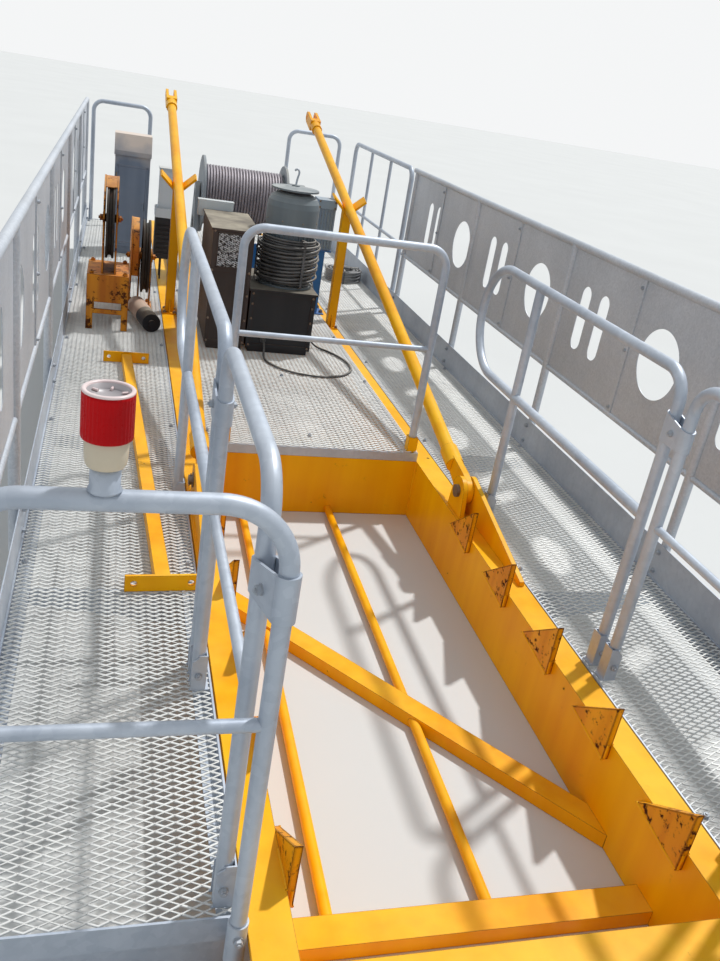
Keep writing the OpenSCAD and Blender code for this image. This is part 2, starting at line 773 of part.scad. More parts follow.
module pit_rail() {
    loop_r = (rail_h - mid_h) / 2;
    translate([rail_x, 0, 0]) {
        // Front frame with a rounded nose between top rail and middle rail
        from_rear(frame1_back) translate([0, 0, deck_z]) {
            cylinder(d = rail_d, h = rail_h - bend_r);
            translate([0, bend_r, rail_h - bend_r]) rotate([0, 0, 90]) mirror([1, 0, 0])
                bend_xz(bend_r, rail_d);
            translate([0, bend_r, rail_h])
                bar_y_dir(frame1_front - frame1_back - bend_r - loop_r, rail_d);
            translate([0, 0, mid_h])
                bar_y_dir(frame1_front - frame1_back - loop_r, rail_d);
            translate([0, frame1_front - frame1_back - loop_r, mid_h + loop_r])
                rotate([0, 0, 90]) rotate([90, 0, 0]) rotate([0, 0, -90])
                    rotate_extrude(angle = 180) translate([loop_r, 0]) circle(d = rail_d);
        }
        from_rear(frame1_leg) translate([0, 0, deck_z]) cylinder(d = rail_d, h = rail_h);
        // Rear frame
        from_rear((frame2_back + frame2_front) / 2) translate([0, 0, deck_z])
            rotate([0, 0, 90]) {
                portal(frame2_front - frame2_back, rail_h, rail_d, bend_r);
                translate([-(frame2_front - frame2_back) / 2, 0, mid_h])
                    bar_x_dir(frame2_front - frame2_back, mid_d);
            }
        // Clamps that join the neighbouring legs, and this rail to the rear rail
        from_rear(frame2_front) translate([0, 0, clamp_z])
            leg_clamp(frame1_back - frame2_front, rail_d, -0.5);
        from_rear(frame2_back) translate([0, 0, rear_clamp_z])
            rotate([0, 0, atan2(rear_offset[0], rear_offset[1])]) mirror([0, 1, 0])
                leg_clamp(norm(rear_offset), rear_rail_d, socket_clear);
    }
}
module left_pit_rail() { color(steel) mirror([1, 0, 0]) pit_rail(); }
module right_pit_rail() { color(steel) pit_rail(); }

module platform_rail() {
    span = rail_left_x + rail_right_x;
    foot = platform_h + seat;
    color(steel) from_rear(pit_front + platform_leg_y)
        translate([(rail_right_x - rail_left_x) / 2, 0, deck_z + foot]) {
            portal(span, rail_h - foot, rail_d, bend_r);
            translate([-span / 2, 0, mid_h - foot]) bar_x_dir(span, mid_d);
        }
}

// The light stands on the left rear rail
light_x = -(walk_out - light_in);
light_z = deck_z + rear_rail_h + rear_rail_d / 2 + seat;
module beacon_base() {
    stub_d = 46;
    color("#d8cfae") from_rear(rear_rail_y) translate([light_x, 0, light_z]) rotate_extrude()
        polygon([[0, 0], [stub_d / 2 + 4, 0], [stub_d / 2, 6], [stub_d / 2, stub_h],
            [stub_d / 2 + 4, stub_h], [lens_d / 2 - 8, stub_h + 6],
            [lens_d / 2 - 5, stub_h + collar_h], [0, stub_h + collar_h]]);
}
module beacon_lens() {
    wall = 3;
    color("#c4161c") from_rear(rear_rail_y) translate([light_x, 0, light_z + stub_h + collar_h])
        difference() {
            cylinder(d1 = lens_d - 2, d2 = lens_d, h = lens_h);
            translate([0, 0, 2 * wall]) cylinder(d = lens_d - 2 - 2 * wall, h = lens_h);
        }
}

strut_y = pit_front - 1193;
module stowed_strut() {
    len = strut_len;
    side = 52;
    plate = [250, 12, 60];
    color(yellow) from_rear(strut_y) translate([-753, 0, deck_z + seat]) rotate([0, 0, 2.7]) {
        translate([-side / 2, 0, 0]) difference() {
            cube([side, len, side]);
            translate([box_wall, plate[1], box_wall])
                cube([side - 2 * box_wall, len - 2 * plate[1], side - 2 * box_wall]);
        }
        for (y = [0, len - plate[1]]) translate([-plate[0] / 2, y, 0]) difference() {
            cube(plate);
            for (x = [30, plate[0] - 30]) translate([x, -1, plate[2] / 2])
                bar_y_dir(plate[1] + 2, 22);
        }
    }
}

// Cylinder that lies behind the sheaves on the walkway
module stowed_cylinder() {
    len = 430;
    color(dark) from_rear(pit_front + 2254) translate([-800, 0, deck_z + seat]) rotate([0, 0, -168]) {
        translate([0, 0, canister_d / 2]) bar_y_dir(len, canister_d);
        translate([0, len - 1, canister_d / 2]) bar_y_dir(20, 44);
        translate([0, -20, canister_d / 2]) bar_y_dir(21, 70);
    }
}

// Sheet steel box with a shallow recess in its rear face, standing on a plinth
module sheet_box(size, plinth, recess) {
    translate([15, 15, 0]) cube([size[0] - 30, size[1] - 30, plinth]);
    difference() {
        translate([0, 0, plinth]) cube([size[0], size[1], size[2] - plinth]);
        for (b = recess) translate([b[0], -1, b[1]]) cube([b[2], 7, b[3]]);
    }
}

stand_y = pit_front + stand_ahead;
stand_x = -165;
lid_t = 12;
module motor_stand() {
    color(dark) from_rear(stand_y) translate([stand_x, 0, platform_top]) {
        sheet_box([stand_w, stand_l, stand_h - lid_t], 30,
            [[25, 55, stand_w - 50, stand_h - lid_t - 80]]);
        // Top plate with a small overhang
        translate([-8, -10, stand_h - lid_t]) cube([stand_w + 16, stand_l + 20, lid_t]);
    }
}
module control_cabinet() {
    vent = 197;
    color("#3a3431") from_rear(stand_y) translate([stand_x - 11 - cabinet_w, 0, platform_top]) {
        sheet_box([cabinet_w, cabinet_l, cabinet_h - lid_t], 40,
            [[30, cabinet_h - lid_t - vent - 12, cabinet_w - 60, vent],
            [20, 60, cabinet_w - 40, cabinet_h - lid_t - vent - 100]]);
        // Loose lid plate that reaches over towards the motor
        translate([-9, -6, cabinet_h - lid_t]) cube([cabinet_w + 45, cabinet_l + 6, lid_t]);
    }
}
module junction_boxes() {
    color("#dfe6ea") {
        // Small box behind the control cabinet
        from_rear(stand_y + cabinet_l + seat)
            translate([stand_x - 11 - cabinet_w - 40, 0, platform_top + cabinet_h - 45]) {
                cube([220, 60, 92]);
                translate([-4, 0, 92]) cube([228, 64, 8]);
            }
        // Box on a tray above the resistor stand
        from_rear(resistor_y) translate([-girder_x - 145, 0, resistor_top + seat]) {
            difference() {
                cube([150, 170, 70]);
                translate([6, 6, 8]) cube([138, 158, 70]);
            }
            translate([20, 30, 7]) cube([110, 110, 345]);
            translate([14, 22, 352]) cube([122, 126, 8]);
        }
    }
}
resistor_y = pit_front + resistor_ahead;
resistor_top = deck_z + 470;
module resistor_stand() {
    foot = 80;
    color(dark) from_rear(resistor_y) {
        // Four legs on the girder's flange and a vented box on them
        for (x = [0, foot - 12]) for (y = [10, 150 - 22])
            translate([-girder_x - 90 + x, y, deck_z]) cube([12, 12, 160]);
        difference() {
            translate([-girder_x - 140, 0, deck_z + 160])
                cube([140, 170, resistor_top - deck_z - 160]);
            for (i = [0 : 6]) translate([-girder_x - 120, -1, deck_z + 200 + i * 34])
                cube([100, 9, 16]);
        }
    }
}

motor_x = 70;
motor_y = stand_y + 230;
motor_z = platform_top + stand_h;
core_r = 136;
module hoist_motor() {
    fins = 28;
    fin_deep = 14;
    cap_d = 285;
    cowl_z = motor_h - 235;
    color("#7f8a86") from_rear(motor_y) translate([motor_x, 0, motor_z]) {
        cylinder(r = coil_in + 20, h = coil_low - seat);
        cylinder(r = core_r, h = cowl_z + 10);
        // Cooling fins round the body
        for (i = [0 : fins - 1]) rotate([0, 0, i * 360 / fins])
            translate([core_r - 4, -2, coil_low - 4]) cube([fin_deep + 4, 4, cowl_z - coil_low + 8]);
        // Fan cowl with a rounded shoulder, neck and rain cap
        translate([0, 0, cowl_z]) rotate_extrude() polygon([[0, 0], [cowl_d / 2, 0],
            [cowl_d / 2, 118], [cowl_d / 2 - 6, 150], [cowl_d / 2 - 20, 176], [cowl_d / 2 - 46, 192],
            [cap_d / 2 - 50, 196], [cap_d / 2 - 50, 212], [cap_d / 2, 214], [cap_d / 2, 224],
            [60, 235], [0, 235]]);
    }
}

// Blue frame behind the motor: two uprights and a cross rail
blue_y = pit_front + blue_ahead;
blue_h = 455;
blue_x0 = -75;
blue_x1 = 405;
module winch_bracket() {
    foot = 8;
    color("#2f6fb0") from_rear(blue_y) translate([0, 0, platform_top]) {
        for (x = [blue_x0, blue_x1]) {
            translate([x - 10, -20, 0]) cube([150, 190, foot]);
            translate([x, 0, foot - 1]) cube([12, 150, blue_h - foot + 1]);
            translate([x, 0, foot - 1]) cube([90, 12, blue_h - foot + 1]);
        }
        translate([blue_x0, 0, blue_h / 2]) cube([blue_x1 - blue_x0 + 90, 12, 90]);
        translate([blue_x1 - 5, -5, blue_h]) cube([140, 160, 10]);
    }
}
// Light box with upright ribs on the blue frame
module terminal_box() {
    size = [130, 150, 345];
    ribs = 6;
    color("#9fb2c4") from_rear(blue_y) translate([blue_x1, 0, platform_top + blue_h + 10 + seat]) {
        translate([0, 8, 0]) cube([size[0], size[1] - 8, size[2] - 60]);
        translate([-3, 0, size[2] - 60]) cube([size[0] + 6, size[1], 60]);
        for (i = [0 : ribs - 1]) translate([8 + i * (size[0] - 22) / (ribs - 1), 0, 10])
            cube([6, 10, size[2] - 65]);
    }
}

drum_y = pit_front + drum_ahead;
drum_z = platform_top + drum_rise;
drum_x = 5;
drum_half = drum_len / 2 + drum_flange_t;
stand_gap = 12;
cheek_t = 30;
module drum_stand() {
    foot_w = 560;
    head_w = 180;
    color("#8b8f90") from_rear(drum_y) {
        for (s = [-1, 1]) translate([drum_x + s * (drum_half + stand_gap + cheek_t / 2) - cheek_t / 2, 0,
            platform_top])
            rotate([90, 0, 90]) linear_extrude(cheek_t) difference() {
                union() {
                    polygon([[-foot_w / 2, 0], [foot_w / 2, 0], [head_w / 2, drum_rise],
                        [-head_w / 2, drum_rise]]);
                    translate([0, drum_rise]) circle(d = head_w);
                }
                translate([0, drum_rise]) circle(d = shaft_d + pin_clear);
                polygon([[-foot_w / 2 + 110, 70], [foot_w / 2 - 110, 70], [55, drum_rise - 180],
                    [-55, drum_rise - 180]]);
            }
        // Two base channels that join the cheeks
        for (y = [-foot_w / 2, foot_w / 2 - 60]) translate([drum_x - drum_half - stand_gap, y, platform_top])
            cube([2 * (drum_half + stand_gap), 60, 50]);
    }
}
module hoist_drum() {
    stub = drum_half + stand_gap + cheek_t - 6;
    color("#8a8480") from_rear(drum_y) translate([drum_x, 0, drum_z]) {
        translate([-drum_len / 2, 0, 0]) bar_x_dir(drum_len, rope_layer_d);
        for (s = [-1, 1]) translate([s * (drum_len + drum_flange_t) / 2 - drum_flange_t / 2, 0, 0])
            bar_x_dir(drum_flange_t, drum_flange_d);
        translate([-stub, 0, 0]) bar_x_dir(2 * stub, shaft_d);
    }
}
// Gearbox with a round head over the drum shaft and ribbed sides
module winch_gearbox() {
    body_w = 118;
    head_d = 330;
    color("#6f8191") from_rear(drum_y)
        translate([drum_x + drum_half + stand_gap + cheek_t + seat, 0, platform_top]) {
            rotate([90, 0, 90]) linear_extrude(body_w) {
                translate([0, drum_rise]) circle(d = head_d);
                polygon([[-head_d / 2, drum_rise], [head_d / 2, drum_rise], [200, 30], [-200, 30]]);
            }
            translate([0, -220, 0]) cube([body_w, 440, 30]);
            for (z = [120 : 90 : drum_rise - 60]) translate([10, -head_d / 2 - 30, z])
                cube([body_w - 20, head_d + 60, 12]);
        }
}
// Tall locker whose hood slopes at the front
module electrical_cabinet() {
    deep = 260;
    slope = 120;
    color("#8d979c") from_rear(pit_front + locker_ahead) translate([-walk_in - 350, 0, deck_z + seat]) {
        translate([10, 10, 0]) cube([locker_w - 20, deep - 20, 60]);
        translate([0, 0, 59]) rotate([90, 0, 90]) linear_extrude(locker_w)
            polygon([[0, 0], [deep, 0], [deep, locker_h - 59], [slope / 2, locker_h - 59],
                [0, locker_h - 59 - slope]]);
        translate([-8, -8, locker_h - slope - 34]) rotate([90, 0, 90]) linear_extrude(locker_w + 16)
            polygon([[0, 0], [6, 0], [6, 32], [slope / 2 + 8, slope + 34], [deep + 14, slope + 34],
                [deep + 14, slope + 42], [slope / 2 + 4, slope + 42], [0, 36]]);
    }
}

guard_gap = sheave_w + 2 * guard_clear;
guard_out = guard_gap / 2 + guard_t;
guard_r = sheave_d / 2 + 12;
tall_y = pit_front + tall_ahead;
tall_x = -985;

// Cheek plate beside a sheave: a disc on an upright
module cheek_outline(z_axle, foot_w, z_foot) {
    translate([0, z_axle]) circle(guard_r);
    translate([-foot_w / 2, z_foot]) square([foot_w, z_axle - z_foot]);
}
// Band round part of a cheek's rim, which starts at x = 0 and runs to the right
module rim_band(z_axle, width, from_angle, sweep) {
    translate([0, 0, z_axle]) rotate([from_angle, 0, 0]) rotate([0, 90, 0]) rotate([0, 0, 180])
        rotate_extrude(angle = sweep) translate([guard_r - 9, 0]) square([6, width]);
}
module tall_sheave_stand() {
    base_w = 250;
    base_l = 400;
    base_z = 172;
    base_h = 170;
    leg = 40;
    color("#d28b1c") from_rear(tall_y) translate([tall_x, 0, deck_z + seat]) {
        // Narrow cheeks cut off flat at both sides, with an axle and a cap band
        for (s = [-1, 1]) translate([s * (guard_gap + guard_t) / 2 - guard_t / 2, 0, 0])
            rotate([90, 0, 90]) linear_extrude(guard_t) intersection() {
                cheek_outline(tall_z, 320, base_z + base_h - 1);
                translate([-205, 0]) square([410, tall_z + guard_r]);
            }
        translate([-guard_out, 0, 0]) rim_band(tall_z, 2 * guard_out, -20, 55);
        translate([-guard_out, 0, tall_z]) bar_x_dir(2 * guard_out, sheave_bore - pin_clear);
        // Welded box that carries the cheeks
        translate([-base_w / 2, -base_l / 2, base_z]) difference() {
            cube([base_w, base_l, base_h]);
            translate([10, 10, -1]) cube([base_w - 20, base_l - 20, base_h - 9]);
        }
        // Angle legs, a cross bar between them and two foot runners
        for (sx = [0, 1]) mirror([sx, 0, 0]) for (sy = [0, 1]) mirror([0, sy, 0])
            translate([base_w / 2 - leg, base_l / 2 - leg, 0]) difference() {
                cube([leg, leg, base_z + 1]);
                translate([-1, -1, -1]) cube([leg - 5, leg - 5, base_z + 3]);
            }
        for (s = [-1, 1]) translate([-base_w / 2, s * (base_l / 2 - 4) - 4, 100])
            cube([base_w, 8, 30]);
    }
}
low_y = pit_front + low_ahead;
low_x = -751;
module guard_sheave_stand() {
    strap = 80;
    left_out = 100;
    color("#d28b1c") from_rear(low_y) translate([low_x, 0, deck_z + seat]) {
        // Closed disc on the left with a rolled rim, set off from the sheave
        translate([-left_out, 0, 0]) rotate([90, 0, 90]) linear_extrude(guard_t)
            cheek_outline(low_z, 160, 0);
        translate([-left_out, 0, 0]) rim_band(low_z, 50, -60, 170);
        // Straps that carry the axle on both sides of the sheave
        both_sides() translate([guard_gap / 2, 0, 0]) rotate([90, 0, 90]) linear_extrude(guard_t) {
            translate([-strap / 2, 0]) square([strap, low_z]);
            translate([0, low_z]) circle(d = strap + 30);
        }
        translate([-left_out, 0, low_z]) bar_x_dir(left_out + guard_out, sheave_bore - pin_clear);
        translate([-left_out, -130, 0]) cube([left_out + guard_out + 15, 260, 12]);
    }
}
// Sheave with a deep rope groove, a thin web with round windows and a hub
module sheave() {
    rim = 46;
    hub_d = sheave_bore + 50;
    windows = 6;
    rotate([0, 90, 0]) difference() {
        rotate_extrude() difference() {
            union() {
                translate([sheave_bore / 2, -sheave_w / 2]) square([(hub_d - sheave_bore) / 2, sheave_w]);
                translate([hub_d / 2 - 1, -7]) square([sheave_d / 2 - hub_d / 2 - 8, 14]);
                translate([sheave_d / 2 - rim, -sheave_w / 2]) square([rim, sheave_w]);
            }
            translate([sheave_d / 2 - 8, 0]) circle(groove_r);
            translate([sheave_d / 2 - 8, -groove_r]) square([20, 2 * groove_r]);
        }
        for (i = [0 : windows - 1]) rotate([0, 0, i * 360 / windows])
            translate([(hub_d + sheave_d - 2 * rim) / 4, 0, -sheave_w]) cylinder(d = 70, h = 2 * sheave_w);
    }
}
module tall_sheave() {
    color("#3b3734") from_rear(tall_y) translate([tall_x, 0, deck_z + seat + tall_z]) sheave();
}
module guard_sheave() {
    color("#3b3734") from_rear(low_y) translate([low_x, 0, deck_z + seat + low_z]) sheave();
}

coil_low = 12;
coil_in = core_r + 16;
module motor_cable_coil() {
    color("#2b2c2d") from_rear(motor_y) translate([motor_x, 0, motor_z])
        rotate_extrude() translate([coil_in, coil_low])
            square([coil_d / 2 - coil_in, coil_h]);
}

// Sweeps a tube of eight sides along points, each ring square to the path
ring_start = [0.5, 0.6, 0.6];
function tangent(p, i) =
    let (a = p[max(i - 1, 0)], b = p[min(i + 1, len(p) - 1)], d = b - a) d / norm(d);
function ring(p, i, r) =
    let (t = tangent(p, i), c = cross(t, ring_start), s = c / norm(c), u = cross(s, t))
    [for (k = [0 : 7]) p[i] + r * (cos(k * 45) * s + sin(k * 45) * u)];
module swept_tube(p, d) {
    n = len(p);
    pts = [for (i = [0 : n - 1]) each ring(p, i, d / 2)];
    sides = [for (i = [0 : n - 2]) for (k = [0 : 7])
        [i * 8 + k, i * 8 + (k + 1) % 8, (i + 1) * 8 + (k + 1) % 8, (i + 1) * 8 + k]];
    ends = [[for (k = [7 : -1 : 0]) k], [for (k = [0 : 7]) (n - 1) * 8 + k]];
    polyhedron(points = pts, faces = concat(sides, ends), convexity = 6);
}
// Smooth curve through hand-set points, three steps to each span
function curve_point(a, b, c, d, t) =
    0.5 * ((2 * b) + (c - a) * t + (2 * a - 5 * b + 4 * c - d) * t * t
        + (3 * b - a - 3 * c + d) * t * t * t);
function smooth(p) =
    let (n = len(p))
    [for (i = [0 : n - 2]) for (k = [0 : 2])
        curve_point(p[max(i - 1, 0)], p[i], p[i + 1], p[min(i + 2, n - 1)], k / 3), p[n - 1]];
// The power cable: out of the stand's rear face, round a loose loop on the
// platform and up the stand's right side to the coil
cable_route = [[-60, 4161, 430], [-60, 4125, 428], [-62, 4075, 405], [-66, 4040, 372], [-60, 3985, 358],
    [-30, 3910, 358], [30, 3830, 358], [120, 3775, 358], [220, 3755, 358], [320, 3775, 358],
    [400, 3830, 358], [455, 3915, 358], [470, 4015, 358], [455, 4115, 358], [420, 4205, 358],
    [375, 4280, 358], [325, 4335, 362], [285, 4365, 390], [264, 4379, 440], [258, 4384, 520],
    [257, 4385, 610], [257, 4385, 690], [257, 4385, 752]];
module loose_cable() {
    color("#2b2c2d") from_rear() swept_tube(smooth(cable_route), cable_d);
}
module walkway_cable_coil() {
    color("#8a8b8c") from_rear(pit_front + pile_ahead) translate([walk_in + 405, 0, deck_z + seat])
        rotate_extrude() translate([60, 0]) square([pile_d / 2 - 60, pile_h]);
}

left_girder();
right_girder();
pit_cross_beam();
rear_end_beam();
rear_cross_tube();
platform_cross_beams();
pit_diagonal_brace();
pit_tie_pipes();
ballast_stops();
tie_lugs();
tie_pins();
saddle_posts();
left_tie_bar();
right_tie_bar();
left_walkway_frame();
right_walkway_frame();
left_walkway_mesh();
right_walkway_mesh();
platform_frame();
platform_mesh();
left_sign_rail();
right_sign_rail();
front_rails();
left_rear_rail();
right_rear_rail();
left_pit_rail();
right_pit_rail();
platform_rail();
beacon_base();
beacon_lens();
stowed_strut();
motor_stand();
control_cabinet();
hoist_motor();
winch_bracket();
drum_stand();
hoist_drum();
winch_gearbox();
electrical_cabinet();
tall_sheave_stand();
tall_sheave();
guard_sheave_stand();
guard_sheave();
terminal_box();
resistor_stand();
junction_boxes();
stowed_cylinder();
motor_cable_coil();
loose_cable();
walkway_cable_coil();
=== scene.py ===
# %% [markdown]
# # A tower crane's counter jib, dressed for the camera
# The construction model gives every beam, rail and hinge its true place. This
# script loads that model as a fixed frame and adds what a maker would call the
# finish: paint that has chipped, zinc that has dulled, expanded metal, rope in
# its turns, cable in its coils. Nothing here moves a part of the frame.

# %% Load the frame
import bpy, bmesh, json, math, random
from mathutils import Matrix, Vector


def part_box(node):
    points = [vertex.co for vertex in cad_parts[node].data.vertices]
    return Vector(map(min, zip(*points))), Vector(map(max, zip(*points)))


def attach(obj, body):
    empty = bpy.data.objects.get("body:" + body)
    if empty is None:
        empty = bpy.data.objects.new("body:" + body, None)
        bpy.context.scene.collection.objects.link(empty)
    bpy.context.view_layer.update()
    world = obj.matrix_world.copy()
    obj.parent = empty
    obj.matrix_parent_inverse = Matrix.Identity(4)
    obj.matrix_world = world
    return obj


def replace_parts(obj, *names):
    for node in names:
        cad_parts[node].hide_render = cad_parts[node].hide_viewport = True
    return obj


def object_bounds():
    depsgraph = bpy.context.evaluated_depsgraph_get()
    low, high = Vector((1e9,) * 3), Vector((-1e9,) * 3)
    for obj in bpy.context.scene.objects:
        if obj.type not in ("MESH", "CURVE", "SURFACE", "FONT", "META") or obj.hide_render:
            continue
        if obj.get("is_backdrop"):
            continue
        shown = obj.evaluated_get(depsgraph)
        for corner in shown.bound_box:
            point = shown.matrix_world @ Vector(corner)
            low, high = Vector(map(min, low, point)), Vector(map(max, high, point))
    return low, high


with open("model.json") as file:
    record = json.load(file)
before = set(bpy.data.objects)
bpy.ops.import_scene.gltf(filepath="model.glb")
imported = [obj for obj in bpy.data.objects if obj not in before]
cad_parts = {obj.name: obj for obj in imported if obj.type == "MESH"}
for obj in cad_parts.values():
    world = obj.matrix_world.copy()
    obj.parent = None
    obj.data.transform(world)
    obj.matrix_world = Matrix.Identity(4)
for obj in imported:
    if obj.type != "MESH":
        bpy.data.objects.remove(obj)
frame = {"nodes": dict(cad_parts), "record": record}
nodes = frame["nodes"]
cad_low, cad_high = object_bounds()
scene = bpy.context.scene
print("frame:", len(nodes), "nodes, size", [round(v, 3) for v in cad_high - cad_low])

# %% [markdown]
# ## The camera
# The photograph was taken by hand, standing behind the ballast pit. The place,
# the turn and the lens were worked out from straight edges of known direction,
# so the numbers below are fixed. The image is taken as 720 by 961 pixels.

# %% Camera
IMAGE_H, FOCAL_PIXELS, SENSOR = 961, 881.7, 36.0
CAMERA_PLACE = (-0.95616, -5.44910, 1.96052)
# The camera's turn away from a level view to the front: an axis times its angle.
CAMERA_TURN = Vector((0.4432683, -0.2679670, 0.1042585))

look = bpy.data.cameras.new("photo_camera")
look.sensor_fit = "AUTO"
look.sensor_width = SENSOR
look.lens = FOCAL_PIXELS * SENSOR / IMAGE_H
look.clip_start, look.clip_end = 0.05, 200.0
camera = bpy.data.objects.new("photo_camera", look)
scene.collection.objects.link(camera)
scene.camera = camera
level = Matrix(((1, 0, 0), (0, 0, -1), (0, 1, 0)))
world_to_view = Matrix.Rotation(CAMERA_TURN.length, 3, CAMERA_TURN.normalized()) @ level
turn = world_to_view.transposed() @ Matrix(((1, 0, 0), (0, -1, 0), (0, 0, -1)))
camera.matrix_world = Matrix.Translation(CAMERA_PLACE) @ turn.to_4x4()
print("camera: lens", round(look.lens, 2), "mm at", tuple(round(v, 2) for v in camera.location))

# %% [markdown]
# ## Two lengths of cable
# The winch's power cable comes out of the motor stand, lies in a loose loop on
# the platform, climbs the stand and is wound round the motor in two layers: an
# outer one in loose turns and an inner one in tight turns. A second cable lies
# in a pile on the right walkway. Each is one curve through points worked out
# turn by turn, because a cable keeps its length and never passes through itself.

# %% Helpers for lines
def model_point(x, ahead, z):
    """A point from the construction's millimetres, where Y counts from the rear end."""
    return Vector((x / 1000, ahead / 1000 - 4.4, z / 1000))


def smooth(points, steps):
    """Catmull-Rom curve through points, as in the construction."""
    line = []
    for i in range(len(points) - 1):
        a, b = points[max(i - 1, 0)], points[i]
        c, d = points[i + 1], points[min(i + 2, len(points) - 1)]
        for k in range(steps):
            t = k / steps
            line.append(0.5 * ((2 * b) + (c - a) * t + (2 * a - 5 * b + 4 * c - d) * t * t
                               + (3 * b - a - 3 * c + d) * t ** 3))
    return line + [points[-1].copy()]


def round_centre(centre, radius, angle, height):
    """The point at an angle and a height round an upright axis."""
    return centre + Vector((radius * math.cos(angle), radius * math.sin(angle), height))


def length_of(line):
    """The length of a line of points."""
    return sum((b - a).length for a, b in zip(line, line[1:]))


def curve_object(name, lines, diameter, roundness):
    """Lines of points as one curve with a round section. The points carry its radius, so its box fits."""
    curve = bpy.data.curves.new(name, "CURVE")
    curve.dimensions = "3D"
    for line in lines:
        spline = curve.splines.new("POLY")
        spline.points.add(len(line) - 1)
        for point, place in zip(spline.points, line):
            point.co = (*place, 1.0)
            point.radius = diameter / 2
    curve.bevel_depth = 1.0
    curve.bevel_resolution = roundness
    curve.use_fill_caps = True
    piece = bpy.data.objects.new(name, curve)
    scene.collection.objects.link(piece)
    return piece


# %% Power cable
CABLE_D, STEPS = 0.014, 28
MOTOR = Vector((0.070, -0.015, 0.740))
LOOP = [(-60, 4161, 430), (-60, 4125, 428), (-62, 4075, 405), (-66, 4040, 372), (-60, 3985, 358),
        (-30, 3910, 358), (30, 3830, 358), (120, 3775, 358), (220, 3755, 358), (320, 3775, 358),
        (400, 3830, 358), (455, 3915, 358), (470, 4015, 358), (455, 4115, 358), (420, 4205, 358),
        (375, 4280, 358), (325, 4335, 362), (285, 4365, 390), (264, 4379, 440), (258, 4384, 520),
        (257, 4385, 610), (257, 4385, 680)]
OUTER_R, OUTER_LOW, OUTER_TOP, OUTER_TURNS, OUTER_PITCH = 0.186, 0.040, 0.265, 10, 0.0225
INNER_R, INNER_TOP, INNER_TURNS, INNER_PITCH = 0.160, 0.291, 17.5, 0.0152
# Between the layers the cable moves in and up by the same step.
LAYER_STEP, START, CROSSING = 0.026, math.radians(50), math.radians(80)
WAVE, WOBBLE = 0.017, 0.005

climb = smooth([model_point(*p) for p in LOOP], 4)
turn_in = [round_centre(MOTOR, 0.187, math.radians(a), h) for a, h in
           ((3, -0.026), (10, 0.006), (21, 0.026), (35, 0.036))]
outer = []
for k in range(OUTER_TURNS * STEPS):
    turns = k / STEPS
    angle = START + turns * math.tau
    slack = min(1.0, turns) * min(1.0, OUTER_TURNS - turns)
    swing = slack * WAVE * math.sin(angle + 0.35 * math.sin(0.7 * turns) + 0.6)
    reach = OUTER_R + WOBBLE * slack * math.sin(1.37 * angle)
    outer.append(round_centre(MOTOR, reach, angle, OUTER_LOW + OUTER_PITCH * turns + swing))
last = START + OUTER_TURNS * math.tau
over = [round_centre(MOTOR, OUTER_R - LAYER_STEP * t, last + t * CROSSING, OUTER_TOP + LAYER_STEP * t)
        for t in (0.0, 0.25, 0.5, 0.75)]
inner_start = last + CROSSING
inner = [round_centre(MOTOR, INNER_R, inner_start + k / STEPS * math.tau,
                      INNER_TOP - INNER_PITCH * k / STEPS) for k in range(int(INNER_TURNS * STEPS) + 1)]
ending = inner_start + INNER_TURNS * math.tau
into_motor = [round_centre(MOTOR, r, ending + math.radians(a), 0.024 - 0.001 * a / 10)
              for a, r in ((10, 0.157), (20, 0.151), (30, 0.143), (38, 0.135))]
power_line = climb + turn_in + outer + over + inner + into_motor
power_cable = curve_object("power_cable", [power_line], CABLE_D, 2)
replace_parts(power_cable, "loose_cable", "motor_cable_coil")
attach(power_cable, "jib")
print("power cable:", round(length_of(power_line), 2), "m in", len(power_line), "points")

# %% Spare cable on the walkway
PILE = Vector((1.035, 2.320, 0.300))
LANES, LAYERS, PILE_LOW, LIFT, LAYER_RISE = (0.092, 0.124, 0.156), 7, 0.0075, 0.0003, 0.0148
# A turn keeps its lane for most of the way round and changes it in the rest.
KEEP, CHANGE = 0.72, 0.28
pile_line = []
for layer in range(LAYERS):
    lanes = LANES if layer % 2 == 0 else LANES[::-1]
    base = PILE_LOW + LIFT + layer * LAYER_RISE
    for lane, radius in enumerate(lanes):
        following = lanes[lane + 1] if lane < 2 else radius
        for k in range(STEPS):
            part = k / STEPS
            move = max(0.0, (part - KEEP) / CHANGE)
            move = move * move * (3 - 2 * move)
            angle = part * math.tau
            wander = 0.006 * math.sin(angle * 2 + 0.5) + 0.004 * math.sin(angle * 3 + 1.0)
            rise = LAYER_RISE * move if lane == 2 and layer < LAYERS - 1 else 0.0
            reach = radius + (following - radius) * move + wander
            pile_line.append(round_centre(PILE, reach, angle, base + rise))
walkway_cable = curve_object("walkway_cable", [pile_line], CABLE_D, 2)
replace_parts(walkway_cable, "walkway_cable_coil")
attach(walkway_cable, "jib")
print("walkway cable:", round(length_of(pile_line), 2), "m")

# %% [markdown]
# ## Small tools for materials
# Each finish is a node tree. The helpers below add a node, set its inputs and
# link it in one line, which keeps the trees readable. A node joins the tree that
# its inputs come from, and a kind of node is named without its usual prefix.

# %% Node helpers
def wire(socket, value):
    """Links an output to a socket, or sets the socket to a plain value."""
    if isinstance(value, bpy.types.NodeSocket):
        socket.id_data.links.new(value, socket)
    else:
        socket.default_value = value


def add(tree, kind, **inputs):
    """Adds a node. _name sets a property, i0 the first input, From__Min the input "From Min"."""
    prefix = "" if "Node" in kind else tree.bl_idname.replace("Tree", "")
    node = tree.nodes.new(prefix + kind)
    for key, value in inputs.items():
        if key.startswith("_"):
            setattr(node, key[1:], value)
        elif key[0] == "i" and key[1:].isdigit():
            wire(node.inputs[int(key[1:])], value)
        else:
            wire(node.inputs[key.replace("__", " ")], value)
    return node


